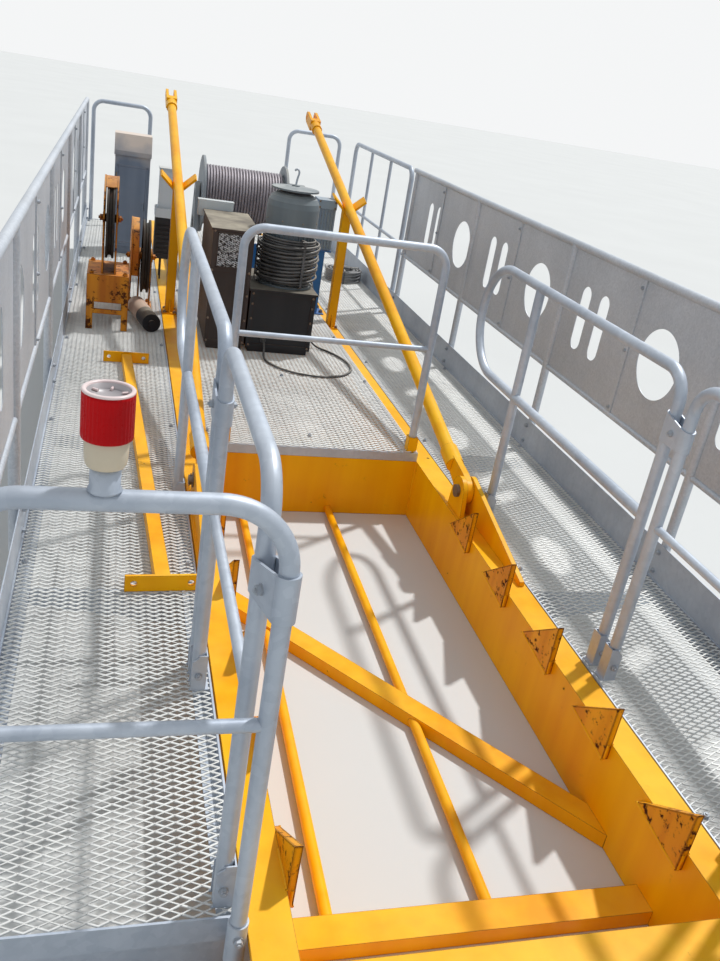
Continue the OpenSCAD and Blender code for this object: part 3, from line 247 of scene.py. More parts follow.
def first(kind, **inputs):
    """Adds a node to the tree that its inputs come from, and gives its first output."""
    tree = next(v.id_data for v in inputs.values() if isinstance(v, bpy.types.NodeSocket))
    return add(tree, kind, **inputs).outputs[0]


def object_place(tree):
    """Where a point lies in its object's own space."""
    return add(tree, "TexCoord").outputs["Object"]


def rgb(red, green, blue):
    """Turns screen values from 0 to 255 into the linear colour that Blender wants."""
    linear = [(c / 255 / 12.92) if c / 255 <= 0.04045 else ((c / 255 + 0.055) / 1.055) ** 2.4
              for c in (red, green, blue)]
    return (*linear, 1.0)


def mix(factor, a, b):
    """Mixes two colours by a factor, in the factor's tree."""
    return add(factor.id_data, "Mix", _data_type="RGBA", i0=factor, i6=a, i7=b).outputs[2]


def ramp(value, low, high):
    """Stretches a value so that low becomes 0 and high becomes 1."""
    return first("MapRange", Value=value, From__Min=low, From__Max=high)


def calc(operation, a, b):
    """One step of arithmetic on two numbers."""
    return first("ShaderNodeMath", _operation=operation, i0=a, i1=b)


def plus(a, b):
    """The sum of two numbers."""
    return calc("ADD", a, b)


def times(a, b):
    """The product of two numbers."""
    return calc("MULTIPLY", a, b)


def xyz(**parts):
    """Joins up to three numbers to a vector."""
    return first("ShaderNodeCombineXYZ", **parts)


# %% [markdown]
# ## Effects that many finishes share
# Three effects come back on almost every piece: paint that has broken off along
# edges, dust that lies on what faces up, and slow changes of tone. Each is a
# node group with its own inputs, so every finish can use it at its own scale.

# %% Edge wear group
FLOAT, VECTOR = "NodeSocketFloat", "NodeSocketVector"


def new_group(name, inputs, outputs):
    """An empty shader node group; its inputs are numbers, given with their usual values."""
    group = bpy.data.node_groups.new(name, "ShaderNodeTree")
    for label, value in inputs:
        group.interface.new_socket(label, in_out="INPUT", socket_type=FLOAT).default_value = value
    for label in outputs:
        group.interface.new_socket(label, in_out="OUTPUT", socket_type=FLOAT)
    return group, group.nodes.new("NodeGroupInput").outputs, group.nodes.new("NodeGroupOutput").inputs


chips, given, made = new_group(
    "worn_edges_and_chips",
    [("Edge width", 0.004), ("Edge amount", 0.5), ("Chip scale", 9.0), ("Chip amount", 0.35)],
    ["Mask", "Halo"])
place = object_place(chips)
rounded = first("Bevel", Radius=given["Edge width"], _samples=4)
flat = add(chips, "NewGeometry").outputs["Normal"]
same = add(chips, "VectorMath", _operation="DOT_PRODUCT", i0=rounded, i1=flat).outputs["Value"]
edge = ramp(same, 0.995, 0.80)
ragged = first("TexNoise", Vector=place, Scale=38.0, Detail=5.0, Roughness=0.65)
broad = first("TexNoise", Vector=place, Scale=given["Chip scale"], Detail=7.0, Roughness=0.72)
edge_part = times(edge, given["Edge amount"])
edge_hit = plus(edge_part, times(ragged, 0.75))
edge_mask = ramp(edge_hit, 0.72, 0.80)
limit = calc("SUBTRACT", 0.78, times(given["Chip amount"], 0.22))
past_limit = calc("SUBTRACT", broad, limit)
chip_mask = ramp(past_limit, 0.0, 0.015)
wire(made["Mask"], calc("MAXIMUM", edge_mask, chip_mask))
halo = ramp(past_limit, -0.05, 0.03)
faint = times(edge, 0.5)
wire(made["Halo"], calc("MAXIMUM", faint, halo))

# %% Dust and tone groups
dust, given, made = new_group("settled_dust", [("Amount", 0.5), ("Scale", 3.0)], ["Mask"])
coords = add(dust, "TexCoord").outputs
up = add(dust, "SeparateXYZ", Vector=coords["Normal"]).outputs["Z"]
cloud = first("TexNoise", Vector=coords["Object"], Scale=given["Scale"], Detail=8.0, Roughness=0.6)
lying = times(ramp(up, 0.35, 0.95), ramp(cloud, 0.35, 0.7))
wire(made["Mask"], times(lying, given["Amount"]))

tone, given, made = new_group("uneven_tone", [("Scale", 1.5), ("Streaks", 0.3)], ["Tone", "Grain"])
place = object_place(tone)
slow = first("TexNoise", Vector=place, Scale=given["Scale"], Detail=4.0)
tall = first("Mapping", Vector=place, Scale=(14.0, 14.0, 0.8))
run_off = first("TexNoise", Vector=tall, Scale=1.0, Detail=3.0)
blend = plus(slow, times(calc("SUBTRACT", run_off, 0.5), given["Streaks"]))
wire(made["Tone"], ramp(blend, 0.3, 0.7))
wire(made["Grain"], first("TexNoise", Vector=place, Scale=160.0, Detail=3.0))
print("effects:", [g.name for g in bpy.data.node_groups])

# %% [markdown]
# ## Painted steel
# Most of the jib is one paint in many states: crane yellow that is almost whole
# on the girders, and nearly gone on the sheave blocks. One function therefore
# makes every painted finish. It lays a tone under the paint, breaks the paint
# where the chips group says so, shows primer or rust there, and dusts the top.

# %% Painted finish
FINISH = {}


def new_material(name):
    """Makes a material, keeps it under its name, and gives its node tree and its surface shader."""
    FINISH[name] = bpy.data.materials.new(name)
    FINISH[name].use_nodes = True
    tree = FINISH[name].node_tree
    return tree, tree.nodes["Principled BSDF"]


def group_node(tree, group, **inputs):
    """Adds a shared effect; Chip_scale=9 sets its input "Chip scale"."""
    node = add(tree, "Group", _node_tree=group)
    for key, value in inputs.items():
        node.inputs[key.replace("_", " ")].default_value = value
    return node.outputs


def surface(shader, colour, roughness, height, strength, depth):
    """Gives a shader its colour, its roughness and a fine relief."""
    bump = first("Bump", Height=height, Strength=strength, Distance=depth)
    for label, value in (("Base Color", colour), ("Roughness", roughness), ("Normal", bump)):
        wire(shader.inputs[label], value)


def painted(name, light, deep, rust=(88, 44, 24), dusty=(188, 178, 158), edge_amount=0.5, chip_amount=0.35,
            chip_scale=9.0, dust_amount=0.35, rough=0.38, streaks=0.35, edge_width=0.004, gloss=0.3,
            bleach=None):
    """A paint coat with its faded tone, chips down to rust, and dust; bleach is (low z, high z, colour)."""
    tree, shader = new_material(name)
    tones = group_node(tree, tone, Scale=1.5, Streaks=streaks)
    worn = group_node(tree, chips, Edge_width=edge_width, Edge_amount=edge_amount, Chip_scale=chip_scale,
                      Chip_amount=chip_amount)
    film = group_node(tree, dust, Amount=dust_amount)
    coat = mix(tones["Tone"], rgb(*deep), rgb(*light))
    stained = mix(times(worn["Halo"], 0.28), coat, rgb(*[c * 0.62 for c in deep]))
    metal = mix(tones["Grain"], rgb(*rust), rgb(*[c * 0.45 for c in rust]))
    broken = mix(worn["Mask"], stained, metal)
    if bleach:
        low, high, faded_colour = bleach
        place = object_place(tree)
        rise = ramp(add(tree, "SeparateXYZ", Vector=place).outputs["Z"], low, high)
        cloud = first("TexNoise", Vector=place, Scale=5.0, Detail=5.0)
        broken = mix(ramp(plus(rise, cloud), 0.75, 1.3), broken, rgb(*faded_colour))
    final = mix(film["Mask"], broken, rgb(*dusty))
    shader.inputs["Specular IOR Level"].default_value = gloss
    wear_rough = times(calc("MAXIMUM", worn["Mask"], film["Mask"]), 0.45)
    grain_rough = times(tones["Grain"], 0.12)
    total = plus(plus(rough - 0.06, wear_rough), grain_rough)
    height = plus(times(worn["Mask"], -0.7), times(tones["Grain"], 0.12))
    surface(shader, final, total, height, 0.35, 0.0015)


painted("crane_yellow", (255, 190, 6), (238, 158, 2), dusty=(238, 212, 130), dust_amount=0.16,
        chip_amount=0.5, edge_amount=0.62, streaks=0.5, gloss=0.16)
painted("worn_stop_yellow", (246, 172, 8), (206, 120, 4), rust=(92, 42, 20), chip_amount=0.95,
        edge_amount=1.25, chip_scale=30.0, dust_amount=0.1, streaks=0.7, edge_width=0.011,
        gloss=0.16)
painted("rusty_yellow", (230, 152, 30), (178, 100, 20), rust=(112, 60, 26), edge_amount=1.1,
        chip_amount=1.0, chip_scale=10.0, dust_amount=0.4, rough=0.55, streaks=0.9,
        edge_width=0.007)
painted("stand_black", (46, 46, 49), (30, 30, 33), dust_amount=0.9, dusty=(176, 166, 148),
        rough=0.5)
painted("cabinet_brown", (74, 64, 60), (48, 40, 38), dust_amount=0.9, rough=0.55)
painted("motor_grey", (122, 132, 136), (94, 104, 112), dust_amount=0.9, dusty=(204, 204, 198),
        edge_amount=0.4, rough=0.42)
painted("machine_blue", (52, 118, 186), (28, 84, 152), rough=0.4)
painted("machine_grey", (158, 166, 172), (126, 136, 144), dust_amount=0.6, rough=0.5)
painted("cabinet_grey", (134, 146, 164), (104, 116, 134), dust_amount=1.0,
        dusty=(222, 206, 190), rough=0.5, bleach=(0.95, 1.3, (216, 202, 190)))
painted("machine_light", (150, 174, 196), (118, 144, 168), dust_amount=0.5, rough=0.45)
painted("box_white", (218, 224, 228), (190, 200, 206), dust_amount=0.6, rough=0.4)
print("paints:", len(bpy.data.materials))

# %% [markdown]
# ## Zinc and bare metal
# The rails and gratings are hot-dip galvanised. Fresh zinc shows flat crystals
# of slightly different grey; old zinc goes dull and holds dirt. A cell pattern
# gives the crystals, and its tone is kept weak, as it is on weathered tube.

# %% Metal finish
def metal_skin(name, light, deep, metallic=0.55, rough=0.42, crystals=0.25, crystal_scale=55.0, grime=0.25,
               grime_colour=(96, 84, 70), chip_amount=0.1):
    """Zinc or steel with crystals, grime and a dull film."""
    tree, shader = new_material(name)
    place = object_place(tree)
    cells = add(tree, "TexVoronoi", Vector=place, Scale=crystal_scale).outputs["Color"]
    shade = first("SeparateColor", Color=cells)
    tones = group_node(tree, tone, Scale=2.2, Streaks=0.3)
    worn = group_node(tree, chips, Edge_width=0.003, Edge_amount=0.2, Chip_scale=7.0,
                      Chip_amount=chip_amount)
    film = group_node(tree, dust, Amount=grime)
    value = plus(times(shade, crystals), times(tones["Tone"], 1.0 - crystals))
    skin = mix(value, rgb(*deep), rgb(*light))
    dirty = mix(times(worn["Halo"], grime), skin, rgb(*grime_colour))
    final = mix(times(film["Mask"], 0.6), dirty, rgb(196, 190, 178))
    shader.inputs["Metallic"].default_value = metallic
    uneven = plus(tones["Grain"], times(shade, 0.5))
    height = plus(tones["Grain"], times(shade, 0.35))
    surface(shader, final, plus(rough, times(uneven, 0.16)), height, 0.15, 0.0006)


metal_skin("zinc_tube", (198, 206, 216), (158, 168, 182), metallic=0.45, rough=0.38)
metal_skin("zinc_plate", (190, 196, 204), (146, 154, 164), metallic=0.45, grime=0.45)
metal_skin("zinc_mesh", (240, 240, 236), (206, 206, 203), metallic=0.25, rough=0.42, grime=0.35)
metal_skin("sign_sheet", (204, 209, 216), (172, 179, 188), metallic=0.35, crystals=0.45,
           crystal_scale=120.0, grime=0.35)
metal_skin("pin_steel", (156, 146, 134), (104, 90, 78), metallic=0.7, grime=0.7,
           grime_colour=(112, 62, 34), chip_amount=0.8)
metal_skin("sheave_iron", (74, 68, 62), (38, 34, 32), metallic=0.5, rough=0.5, grime=0.6,
           grime_colour=(104, 62, 38), chip_amount=0.8)
metal_skin("rope_steel", (172, 166, 172), (112, 106, 112), metallic=0.5, rough=0.42, grime=0.25)

# %% [markdown]
# ## Rubber and plastic
# Cable sheath, the cream collar and the red lens take their look from gloss and
# fine scuffs, so one small function covers them.

# %% Rubber and plastic finish
def plastic(name, light, deep, rough=0.5, dusty=0.3, bump_strength=0.1, gloss=0.5):
    """A smooth coat of one colour, with slow changes of tone and a film of dust."""
    tree, shader = new_material(name)
    tones = group_node(tree, tone, Scale=6.0, Streaks=0.1)
    film = group_node(tree, dust, Amount=dusty)
    coat = mix(tones["Tone"], rgb(*deep), rgb(*light))
    final = mix(film["Mask"], coat, rgb(178, 168, 150))
    shader.inputs["Specular IOR Level"].default_value = gloss
    scuffs = plus(rough, times(tones["Grain"], 0.15))
    surface(shader, final, scuffs, tones["Grain"], bump_strength, 0.0005)


plastic("cable_black", (96, 96, 99), (42, 42, 44), rough=0.34, dusty=1.0)
plastic("cable_grey", (150, 150, 150), (112, 112, 114), rough=0.5, dusty=0.5)
plastic("collar_cream", (218, 206, 182), (198, 184, 160), rough=0.35)
plastic("lens_red", (200, 0, 10), (156, 0, 6), rough=0.22, dusty=0.0, bump_strength=0.02, gloss=0.12)
plastic("lens_clear", (240, 222, 218), (224, 200, 198), rough=0.25, dusty=0.1)
plastic("dish_grey", (176, 170, 172), (150, 144, 148), rough=0.3, dusty=0.2)
plastic("sleeve_beige", (222, 196, 176), (196, 164, 142), rough=0.55, dusty=0.6)

# %% [markdown]
# ## Dressing the frame
# Each node of the frame already carries the name of its finish in the record.
# Most of these names are those of the materials made above. The stop teeth are
# more worn than the other yellow steel, so they get their own paint.

# %% Assign finishes to the frame
for slot, name in (("yellow_paint", "crane_yellow"), ("galvanised", "zinc_tube"), ("grating", "zinc_mesh")):
    FINISH[slot] = FINISH[name]
for row in frame["record"]["subparts"]:
    mesh = nodes[row["node"]].data
    mesh.materials.clear()
    finish = "worn_stop_yellow" if row["node"] == "ballast_stops" else row["material_slot"]
    mesh.materials.append(FINISH[finish])
for piece, sheath in ((power_cable, "cable_black"), (walkway_cable, "cable_grey")):
    piece.data.materials.append(FINISH[sheath])

# %% [markdown]
# ## Expanded metal
# The walkways are floored with expanded steel: a sheet that is slit and pulled
# until it opens into diamonds. Each strand is a zigzag, and every second one is
# turned round so that the corners meet. Geometry Nodes draw one zigzag, sweep a
# flat section along it and repeat it, which keeps the pattern regular.

# %% Node tools for Geometry Nodes
def nodes_tree(name, sockets):
    """An empty Geometry Nodes tree with named inputs and a finish."""
    tree = bpy.data.node_groups.new(name, "GeometryNodeTree")
    tree.interface.new_socket("Geometry", in_out="INPUT", socket_type="NodeSocketGeometry")
    tree.interface.new_socket("Geometry", in_out="OUTPUT", socket_type="NodeSocketGeometry")
    for label, kind in (*sockets, ("Finish", "NodeSocketMaterial")):
        tree.interface.new_socket(label, in_out="INPUT", socket_type=kind)
    return tree, tree.nodes.new("NodeGroupInput").outputs, tree.nodes.new("NodeGroupOutput").inputs


def moved(geometry, **change):
    """Shifts or turns geometry, by Translation or Rotation."""
    return first("Transform", Geometry=geometry, **change)


def real(geometry):
    """Turns copies into real meshes."""
    return first("RealizeInstances", Geometry=geometry)


def close_tree(geometry, given, made):
    """Ends a tree with geometry that carries the finish."""
    wire(made["Geometry"], first("SetMaterial", Geometry=geometry, Material=given["Finish"]))


def placed(name, mesh, body, slot, finish=None):
    """Puts a mesh in the scene as a piece on a body, in its slot's finish or in the one named."""
    piece = bpy.data.objects.new(name, mesh)
    scene.collection.objects.link(piece)
    if not mesh.materials:
        mesh.materials.append(FINISH[finish or slot])
    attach(piece, body)
    return piece


def grow(name, tree, body, slot, finish=None, start=None, **values):
    """Runs a node tree, on a mesh if one is given, and keeps the result as a plain piece."""
    carrier = bpy.data.objects.new(name + "_source", start or bpy.data.meshes.new("seed"))
    scene.collection.objects.link(carrier)
    modifier = carrier.modifiers.new("shape", "NODES")
    modifier.node_group = tree
    values["Finish"] = FINISH[finish or slot]
    for item in tree.interface.items_tree:
        key = item.name.replace(" ", "_")
        if item.item_type == "SOCKET" and item.in_out == "INPUT" and key in values:
            modifier[item.identifier] = values[key]
    view = carrier.evaluated_get(bpy.context.evaluated_depsgraph_get())
    mesh = bpy.data.meshes.new_from_object(view)
    bpy.data.objects.remove(carrier)
    mesh.name = name
    return placed(name, mesh, body, slot)


# %% Expanded metal tree
mesh_tree, given, made = nodes_tree("expanded_metal", [
    ("Corner", VECTOR), ("Cells", "NodeSocketInt"), ("Rows", "NodeSocketInt"), ("Cell width", FLOAT),
    ("Cell depth", FLOAT), ("Strand", FLOAT), ("Sheet", FLOAT)])
corners = plus(times(given["Cells"], 2), 1)
step = xyz(X=times(given["Cell width"], 0.5))
line = first("MeshLine", Count=corners, Offset=step)
odd = calc("FLOORED_MODULO", add(mesh_tree, "InputIndex").outputs[0], 2)
sway = times(calc("SUBTRACT", odd, 0.5), given["Cell depth"])
zigzag = first("SetPosition", Geometry=line, Offset=xyz(Y=times(sway, 0.5)))
path = first("MeshToCurve", Mesh=zigzag)
path = first("SetCurveTilt", Curve=path, Tilt=0.5)
section = first("CurvePrimitiveQuadrilateral", Width=given["Strand"], Height=given["Sheet"])
strand = first("CurveToMesh", Curve=path, Profile__Curve=section, Fill__Caps=True)
pitch = xyz(Y=times(given["Cell depth"], 0.5))
rows = first("MeshLine", Count=given["Rows"], Offset=pitch)
width = times(given["Cell width"], given["Cells"])
centred = moved(strand, Translation=xyz(X=times(width, -0.5)))
copies = first("InstanceOnPoints", Points=rows, Instance=centred, Rotation=xyz(Z=times(odd, math.pi)))
close_tree(moved(real(copies), Translation=given["Corner"]), given, made)

# %% Lay the gratings
CELL_W, CELL_D = 0.050, 0.023
STRAND_W, STRAND_T = 0.0058, 0.0024
SIDE_GAP, END_GAP = 0.004, 0.008
for node in ("left_walkway_mesh", "right_walkway_mesh", "platform_mesh"):
    low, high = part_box(node)
    size = high - low
    cells = max(1, round((size.x - SIDE_GAP) / CELL_W))
    rows = int((size.y - END_GAP) / (CELL_D / 2))
    corner = ((low.x + high.x) / 2, low.y + 0.010, (low.z + high.z) / 2)
    piece = grow(node + "_strands", mesh_tree, "jib", "grating", Corner=corner, Cells=cells, Rows=rows,
                 Cell_width=(size.x - SIDE_GAP) / cells, Cell_depth=CELL_D, Strand=STRAND_W, Sheet=STRAND_T)
    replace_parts(piece, node)
    print(node, "cells", cells, "rows", rows, "faces", len(piece.data.polygons))

# %% [markdown]
# ## Rope on the drum
# The drum carries one layer of steel rope, laid turn beside turn. A spiral with
# a round section shows the grooves between turns, which is what the eye reads
# as rope. The flanges, the bare core ends and the shaft are turned parts.

# %% Mesh tools
def baked(form, name="turned"):
    """Turns a bmesh into a mesh and frees it."""
    mesh = bpy.data.meshes.new(name)
    form.to_mesh(mesh)
    form.free()
    return mesh


def skin(form, rings, closed=False):
    """Joins each ring of points to the next, and the last to the first if closed."""
    following = rings[1:] + rings[:1] if closed else rings[1:]
    for one, two in zip(rings, following):
        count = max(len(one), len(two))
        for i in range(count):
            j = (i + 1) % count
            corners = [one[i % len(one)], one[j % len(one)], two[j % len(two)], two[i % len(two)]]
            form.faces.new(list(dict.fromkeys(corners)))
    bmesh.ops.recalc_face_normals(form, faces=form.faces)


def circle_angles(radius, sides):
    """The angles of a ring's points; a ring of no radius has a single point."""
    return [i * math.tau / sides for i in range(sides)] if radius > 0 else [0.0]


def lathe_x(profile, centre, sides=64):
    """Turns an outline of (x, radius) pairs round the X axis through a centre."""
    form = bmesh.new()
    rings = []
    for x, radius in profile:
        rings.append([form.verts.new(centre + Vector((x, radius * math.cos(a), radius * math.sin(a))))
                      for a in circle_angles(radius, sides)])
    skin(form, rings)
    return baked(form)


def soft_edges(piece, width=0.002):
    """Rounds the sharp edges of a piece a little and shades it smoothly."""
    bevel = piece.modifiers.new("edges", "BEVEL")
    bevel.width = width
    bevel.segments = 2
    bevel.limit_method = "ANGLE"
    bevel.angle_limit = math.radians(35)
    bevel.harden_normals = True
    piece.data.shade_smooth()
    return piece


# %% Drum and rope
drum_low, drum_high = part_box("hoist_drum")
drum_centre = (drum_low + drum_high) / 2
HALF_WINDING, FLANGE_T = 0.310, 0.020
FLANGE_R, HUB_R, ROPE_R, SHAFT_R = 0.290, 0.09, 0.230, 0.035
ROPE_D, ROPE_GAP = 0.0215, 0.0015
shaft_half = (drum_high.x - drum_low.x) / 2
flange_out = HALF_WINDING + FLANGE_T
profile = [(-shaft_half, 0), (-shaft_half, SHAFT_R), (-flange_out - 0.001, SHAFT_R), (-flange_out, HUB_R),
           (-flange_out, FLANGE_R), (-HALF_WINDING, FLANGE_R), (-HALF_WINDING, ROPE_R - ROPE_D)]
profile += [(-x, r) for x, r in reversed(profile)]
drum_body = placed("drum_body", lathe_x(profile, drum_centre), "hoist_drum", "machine_grey")
soft_edges(drum_body, 0.003)
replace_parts(drum_body, "hoist_drum")

rope_tree, given, made = nodes_tree("drum_rope", [
    ("Centre", VECTOR), ("Radius", FLOAT), ("Length", FLOAT), ("Turns", FLOAT), ("Rope", FLOAT)])
spiral = first("CurveSpiral", Resolution=40, Rotations=given["Turns"],
               Start__Radius=given["Radius"], End__Radius=given["Radius"], Height=given["Length"])
ring = first("CurvePrimitiveCircle", Resolution=8, Radius=times(given["Rope"], 0.5))
rope = first("CurveToMesh", Curve=spiral, Profile__Curve=ring, Fill__Caps=True)
rope = moved(rope, Translation=xyz(Z=times(given["Length"], -0.5)))
rope = moved(rope, Rotation=(0.0, math.pi / 2, 0.0))
rope = moved(rope, Translation=given["Centre"])
rope = first("SetShadeSmooth", Geometry=rope)
close_tree(real(rope), given, made)
winding = 2 * HALF_WINDING - ROPE_D
rope_turns = winding / (ROPE_D + ROPE_GAP)
drum_rope = grow("drum_rope", rope_tree, "hoist_drum", "rope_steel", Centre=drum_centre,
                 Radius=ROPE_R - ROPE_D / 2, Length=winding, Turns=rope_turns, Rope=ROPE_D)
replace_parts(drum_rope, "hoist_drum")
print("rope turns:", round(rope_turns, 1), "faces", len(drum_rope.data.polygons))

# %% [markdown]
# ## Fasteners
# Bolts hold the clamps, the sockets, the toe boards and the machines. A maker
# lists where they sit and which way they face; Geometry Nodes then put a washer,
# a hexagon head and a threaded end on every spot.

# %% Bolt tree
# Each part of a bolt: sides, radius and height as shares of the head, and how high it sits.
BOLT_PARTS = ((14, 1.35, 0.12, 0.03), (6, 1.12, 0.62, 0.33), (10, 0.52, 0.30, 0.72))
bolt_tree, given, made = nodes_tree("hexagon_bolts", [("Across", FLOAT)])
radius = times(given["Across"], 0.5)
parts = add(bolt_tree, "JoinGeometry")
for sides, share, tall, lift in BOLT_PARTS:
    solid = first("MeshCylinder", Vertices=sides,
                  Radius=times(radius, share), Depth=times(given["Across"], tall))
    raised = moved(solid, Translation=xyz(Z=times(given["Across"], lift)))
    wire(parts.inputs[0], raised)
facing = add(bolt_tree, "InputNamedAttribute", _data_type="FLOAT_VECTOR", Name="facing").outputs[0]
turned = first("FunctionNodeAlignRotationToVector", _axis="Z", Vector=facing)
copies = first("InstanceOnPoints", Points=given["Geometry"],
               Instance=parts.outputs[0], Rotation=turned)
close_tree(real(copies), given, made)


def bolts(name, spots, slot, across, finish=None):
    """Bolts at (place, direction) pairs."""
    seed = bpy.data.meshes.new(name + "_spots")
    seed.from_pydata([place for place, _ in spots], [], [])
    directions = seed.attributes.new("facing", "FLOAT_VECTOR", "POINT")
    for i, (_, direction) in enumerate(spots):
        directions.data[i].vector = direction
    grow(name, bolt_tree, "jib", slot, finish, seed, Across=across)
    print(name, len(spots), "bolts")


# %% Bolts of rails, posts and gratings
# Places from here on are in the construction's millimetres.
EAST, WEST, UP = Vector((1, 0, 0)), Vector((-1, 0, 0)), Vector((0, 0, 1))
NORTH, SOUTH = Vector((0, 1, 0)), Vector((0, -1, 0))
DECK_Z, PLATFORM_Z = 300, 350
POST_BOLTS_X, POST_BOLTS_AHEAD = (-607, -543, 543, 607), (5030, 5130)
LEG_X, REAR_IN_X, REAR_LEG_X, TOE_X, PANEL_X = 675.0, 650.0, 1195.3, 1230.0, 1247.8
SOCKETS, SOCKET_HALF, SOCKET_Z = (300.0, 1030.0, 1110.0, 2150.0), 23.3, 352
CLAMP_HALF = 0.0235
RAIL_START, RAIL_MARGIN = 250, 60
SIGN_RAILS = ((-1, 8210.0, 6), (1, 5800.0, 5))


def along_rail(far, posts, i):
    """How far ahead the outer rail's post i stands, or a place between two posts."""
    return RAIL_START + RAIL_MARGIN + i * (far - RAIL_START - 2 * RAIL_MARGIN) / (posts - 1)


def grid(xs, aheads, zs, facing):
    """Every (place, direction) of a grid of places."""
    return [(model_point(x, ahead, z), facing) for x in xs for ahead in aheads for z in zs]


rail_spots = []
for side in (-1, 1):
    rear_across = Vector((0.967, -0.254 * side, 0))
    for x, ahead, z, normal in ((LEG_X, 1070.0, 1160, EAST),
                                ((LEG_X + REAR_IN_X) / 2, 252.0, 1132, rear_across)):
        for way in (-1, 1):
            rail_spots.append((model_point(side * x, ahead, z) + normal * way * CLAMP_HALF, normal * way))
    for ahead in SOCKETS:
        for way in (-1, 1):
            rail_spots.append((model_point(side * LEG_X, ahead + way * SOCKET_HALF, SOCKET_Z), NORTH * way))
    rail_spots += grid((side * REAR_IN_X, side * REAR_LEG_X), (182.7,), (312,), SOUTH)
bolts("rail_bolts", rail_spots, "galvanised", 0.017, "zinc_plate")
toe_spots = []
for side, far, posts in SIGN_RAILS:
    toe_spots += grid((side * TOE_X,), [along_rail(far, posts, i) for i in range(posts)], (330, 415),
                      EAST * -side)
bolts("toe_board_bolts", toe_spots, "galvanised", 0.019, "zinc_plate")
bolts("post_foot_bolts", grid(POST_BOLTS_X, POST_BOLTS_AHEAD, (310,), UP), "pin_steel", 0.019)
clip_spots = grid((-500, 0, 500), range(2860, 8150, 880), (PLATFORM_Z,), UP)
clip_spots += grid((-655, -1205, 655, 1205), range(420, 8200, 1290), (DECK_Z,), UP)
bolts("grating_clips", clip_spots, "galvanised", 0.016, "zinc_plate")

# %% [markdown]
# ## The warning light
# A warning lamp stands on the left rear rail: a grey stub, a cream collar, a
# red lens with upright flutes and a pale rim round a grey dish. The flutes come
# from a radius that rises and falls round the circle.

# %% Lens and lamp
lens_low, lens_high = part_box("beacon_lens")
lens_axis = Vector(((lens_low.x + lens_high.x) / 2, (lens_low.y + lens_high.y) / 2, lens_low.z))
LENS_R, LENS_H, LENS_WALL, FLUTES, FLUTE_DEEP = 0.039, lens_high.z - lens_low.z, 0.003, 36, 0.0012


def lathe_z(profile, centre, sides=96, flute=0.0, count=0):
    """Turns an outline of (radius, z, weight) round an upright axis; weight scales the flutes."""
    form = bmesh.new()
    rings = []
    for radius, z, weight in profile:
        ring = []
        for angle in circle_angles(radius, sides):
            r = radius - flute * weight * (0.5 - 0.5 * math.cos(angle * count))
            ring.append(form.verts.new(centre + Vector((r * math.cos(angle), r * math.sin(angle), z))))
        rings.append(ring)
    skin(form, rings)
    for face in form.faces:
        face.smooth = True
    return baked(form)


RIM_H, DISH_DEEP, FIT = 0.004, 0.012, 0.0002
inner_r, dish_r = LENS_R - LENS_WALL, LENS_R - 0.007
red_top, dish_z = LENS_H - RIM_H, LENS_H - DISH_DEEP
dish_under = dish_z - 0.002
shell = [(0, 0, 0), (LENS_R - 0.001, 0, 0), (LENS_R, 0.002, 0.4), (LENS_R, 0.010, 1),
         (LENS_R, red_top - 0.006, 1), (LENS_R, red_top, 0), (inner_r, red_top, 0), (inner_r, 0.006, 0),
         (0, 0.006, 0)]
lens = placed("beacon_lens_shell", lathe_z(shell, lens_axis, 144, FLUTE_DEEP, FLUTES), "jib", "lens_red")
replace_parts(lens, "beacon_lens")
rim = [(dish_r, dish_under, 0), (inner_r - FIT, dish_under, 0), (inner_r - FIT, red_top + FIT, 0),
       (LENS_R - FIT, red_top + FIT, 0), (LENS_R - FIT, LENS_H - 0.0015, 0), (LENS_R - 0.0015, LENS_H, 0),
       (dish_r + 0.0015, LENS_H, 0), (dish_r, LENS_H - 0.0015, 0), (dish_r, dish_under, 0)]
placed("beacon_lid", lathe_z(rim, lens_axis), "jib", "collar_cream", "lens_clear")
dish = [(0, dish_under, 0), (dish_r - 0.0001, dish_under, 0), (dish_r - 0.0001, LENS_H - 0.003, 0),
        (dish_r - 0.0012, LENS_H - 0.003, 0), (dish_r - 0.002, dish_z + 0.001, 0), (0, dish_z, 0)]
placed("beacon_dish", lathe_z(dish, lens_axis), "jib", "collar_cream", "dish_grey")
clips = [[round_centre(lens_axis, r, math.radians(20 + 60 * k), dish_z + 0.003)
          for r in (dish_r - 0.002, dish_r - 0.012)] for k in range(6)]

base_low, base_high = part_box("beacon_base")
base_axis = Vector((lens_axis.x, lens_axis.y, base_low.z))
base_top = base_high.z - base_low.z
STUB_H, STUB_R, COLLAR_R = 0.042, 0.0235, 0.0325
stub = [(0, 0, 0), (STUB_R + 0.003, 0, 0), (STUB_R + 0.0025, 0.003, 0), (STUB_R, 0.006, 0),
        (STUB_R, STUB_H, 0), (0, STUB_H, 0)]
collar = [(0, STUB_H, 0), (COLLAR_R - 0.004, STUB_H, 0), (COLLAR_R - 0.002, STUB_H + 0.003, 0),
          (COLLAR_R, STUB_H + 0.012, 0), (COLLAR_R + 0.0012, base_top - 0.002, 0), (COLLAR_R, base_top, 0),
          (0, base_top, 0)]
for name, profile, slot, finish in (("beacon_stub", stub, "collar_cream", "zinc_tube"),
                                    ("beacon_collar", collar, "collar_cream", None)):
    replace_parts(placed(name, lathe_z(profile, base_axis, 64), "jib", slot, finish), "beacon_base")
print("light:", FLUTES, "flutes")

# %% [markdown]
# ## Small fittings
# Doors, seams, eyes, ties and glands are small, but a machine looks unfinished
# without them. Four helpers make them: rounded blocks, bars bent along points,
# turned pieces that can point anywhere, and flat bands that go round a coil.

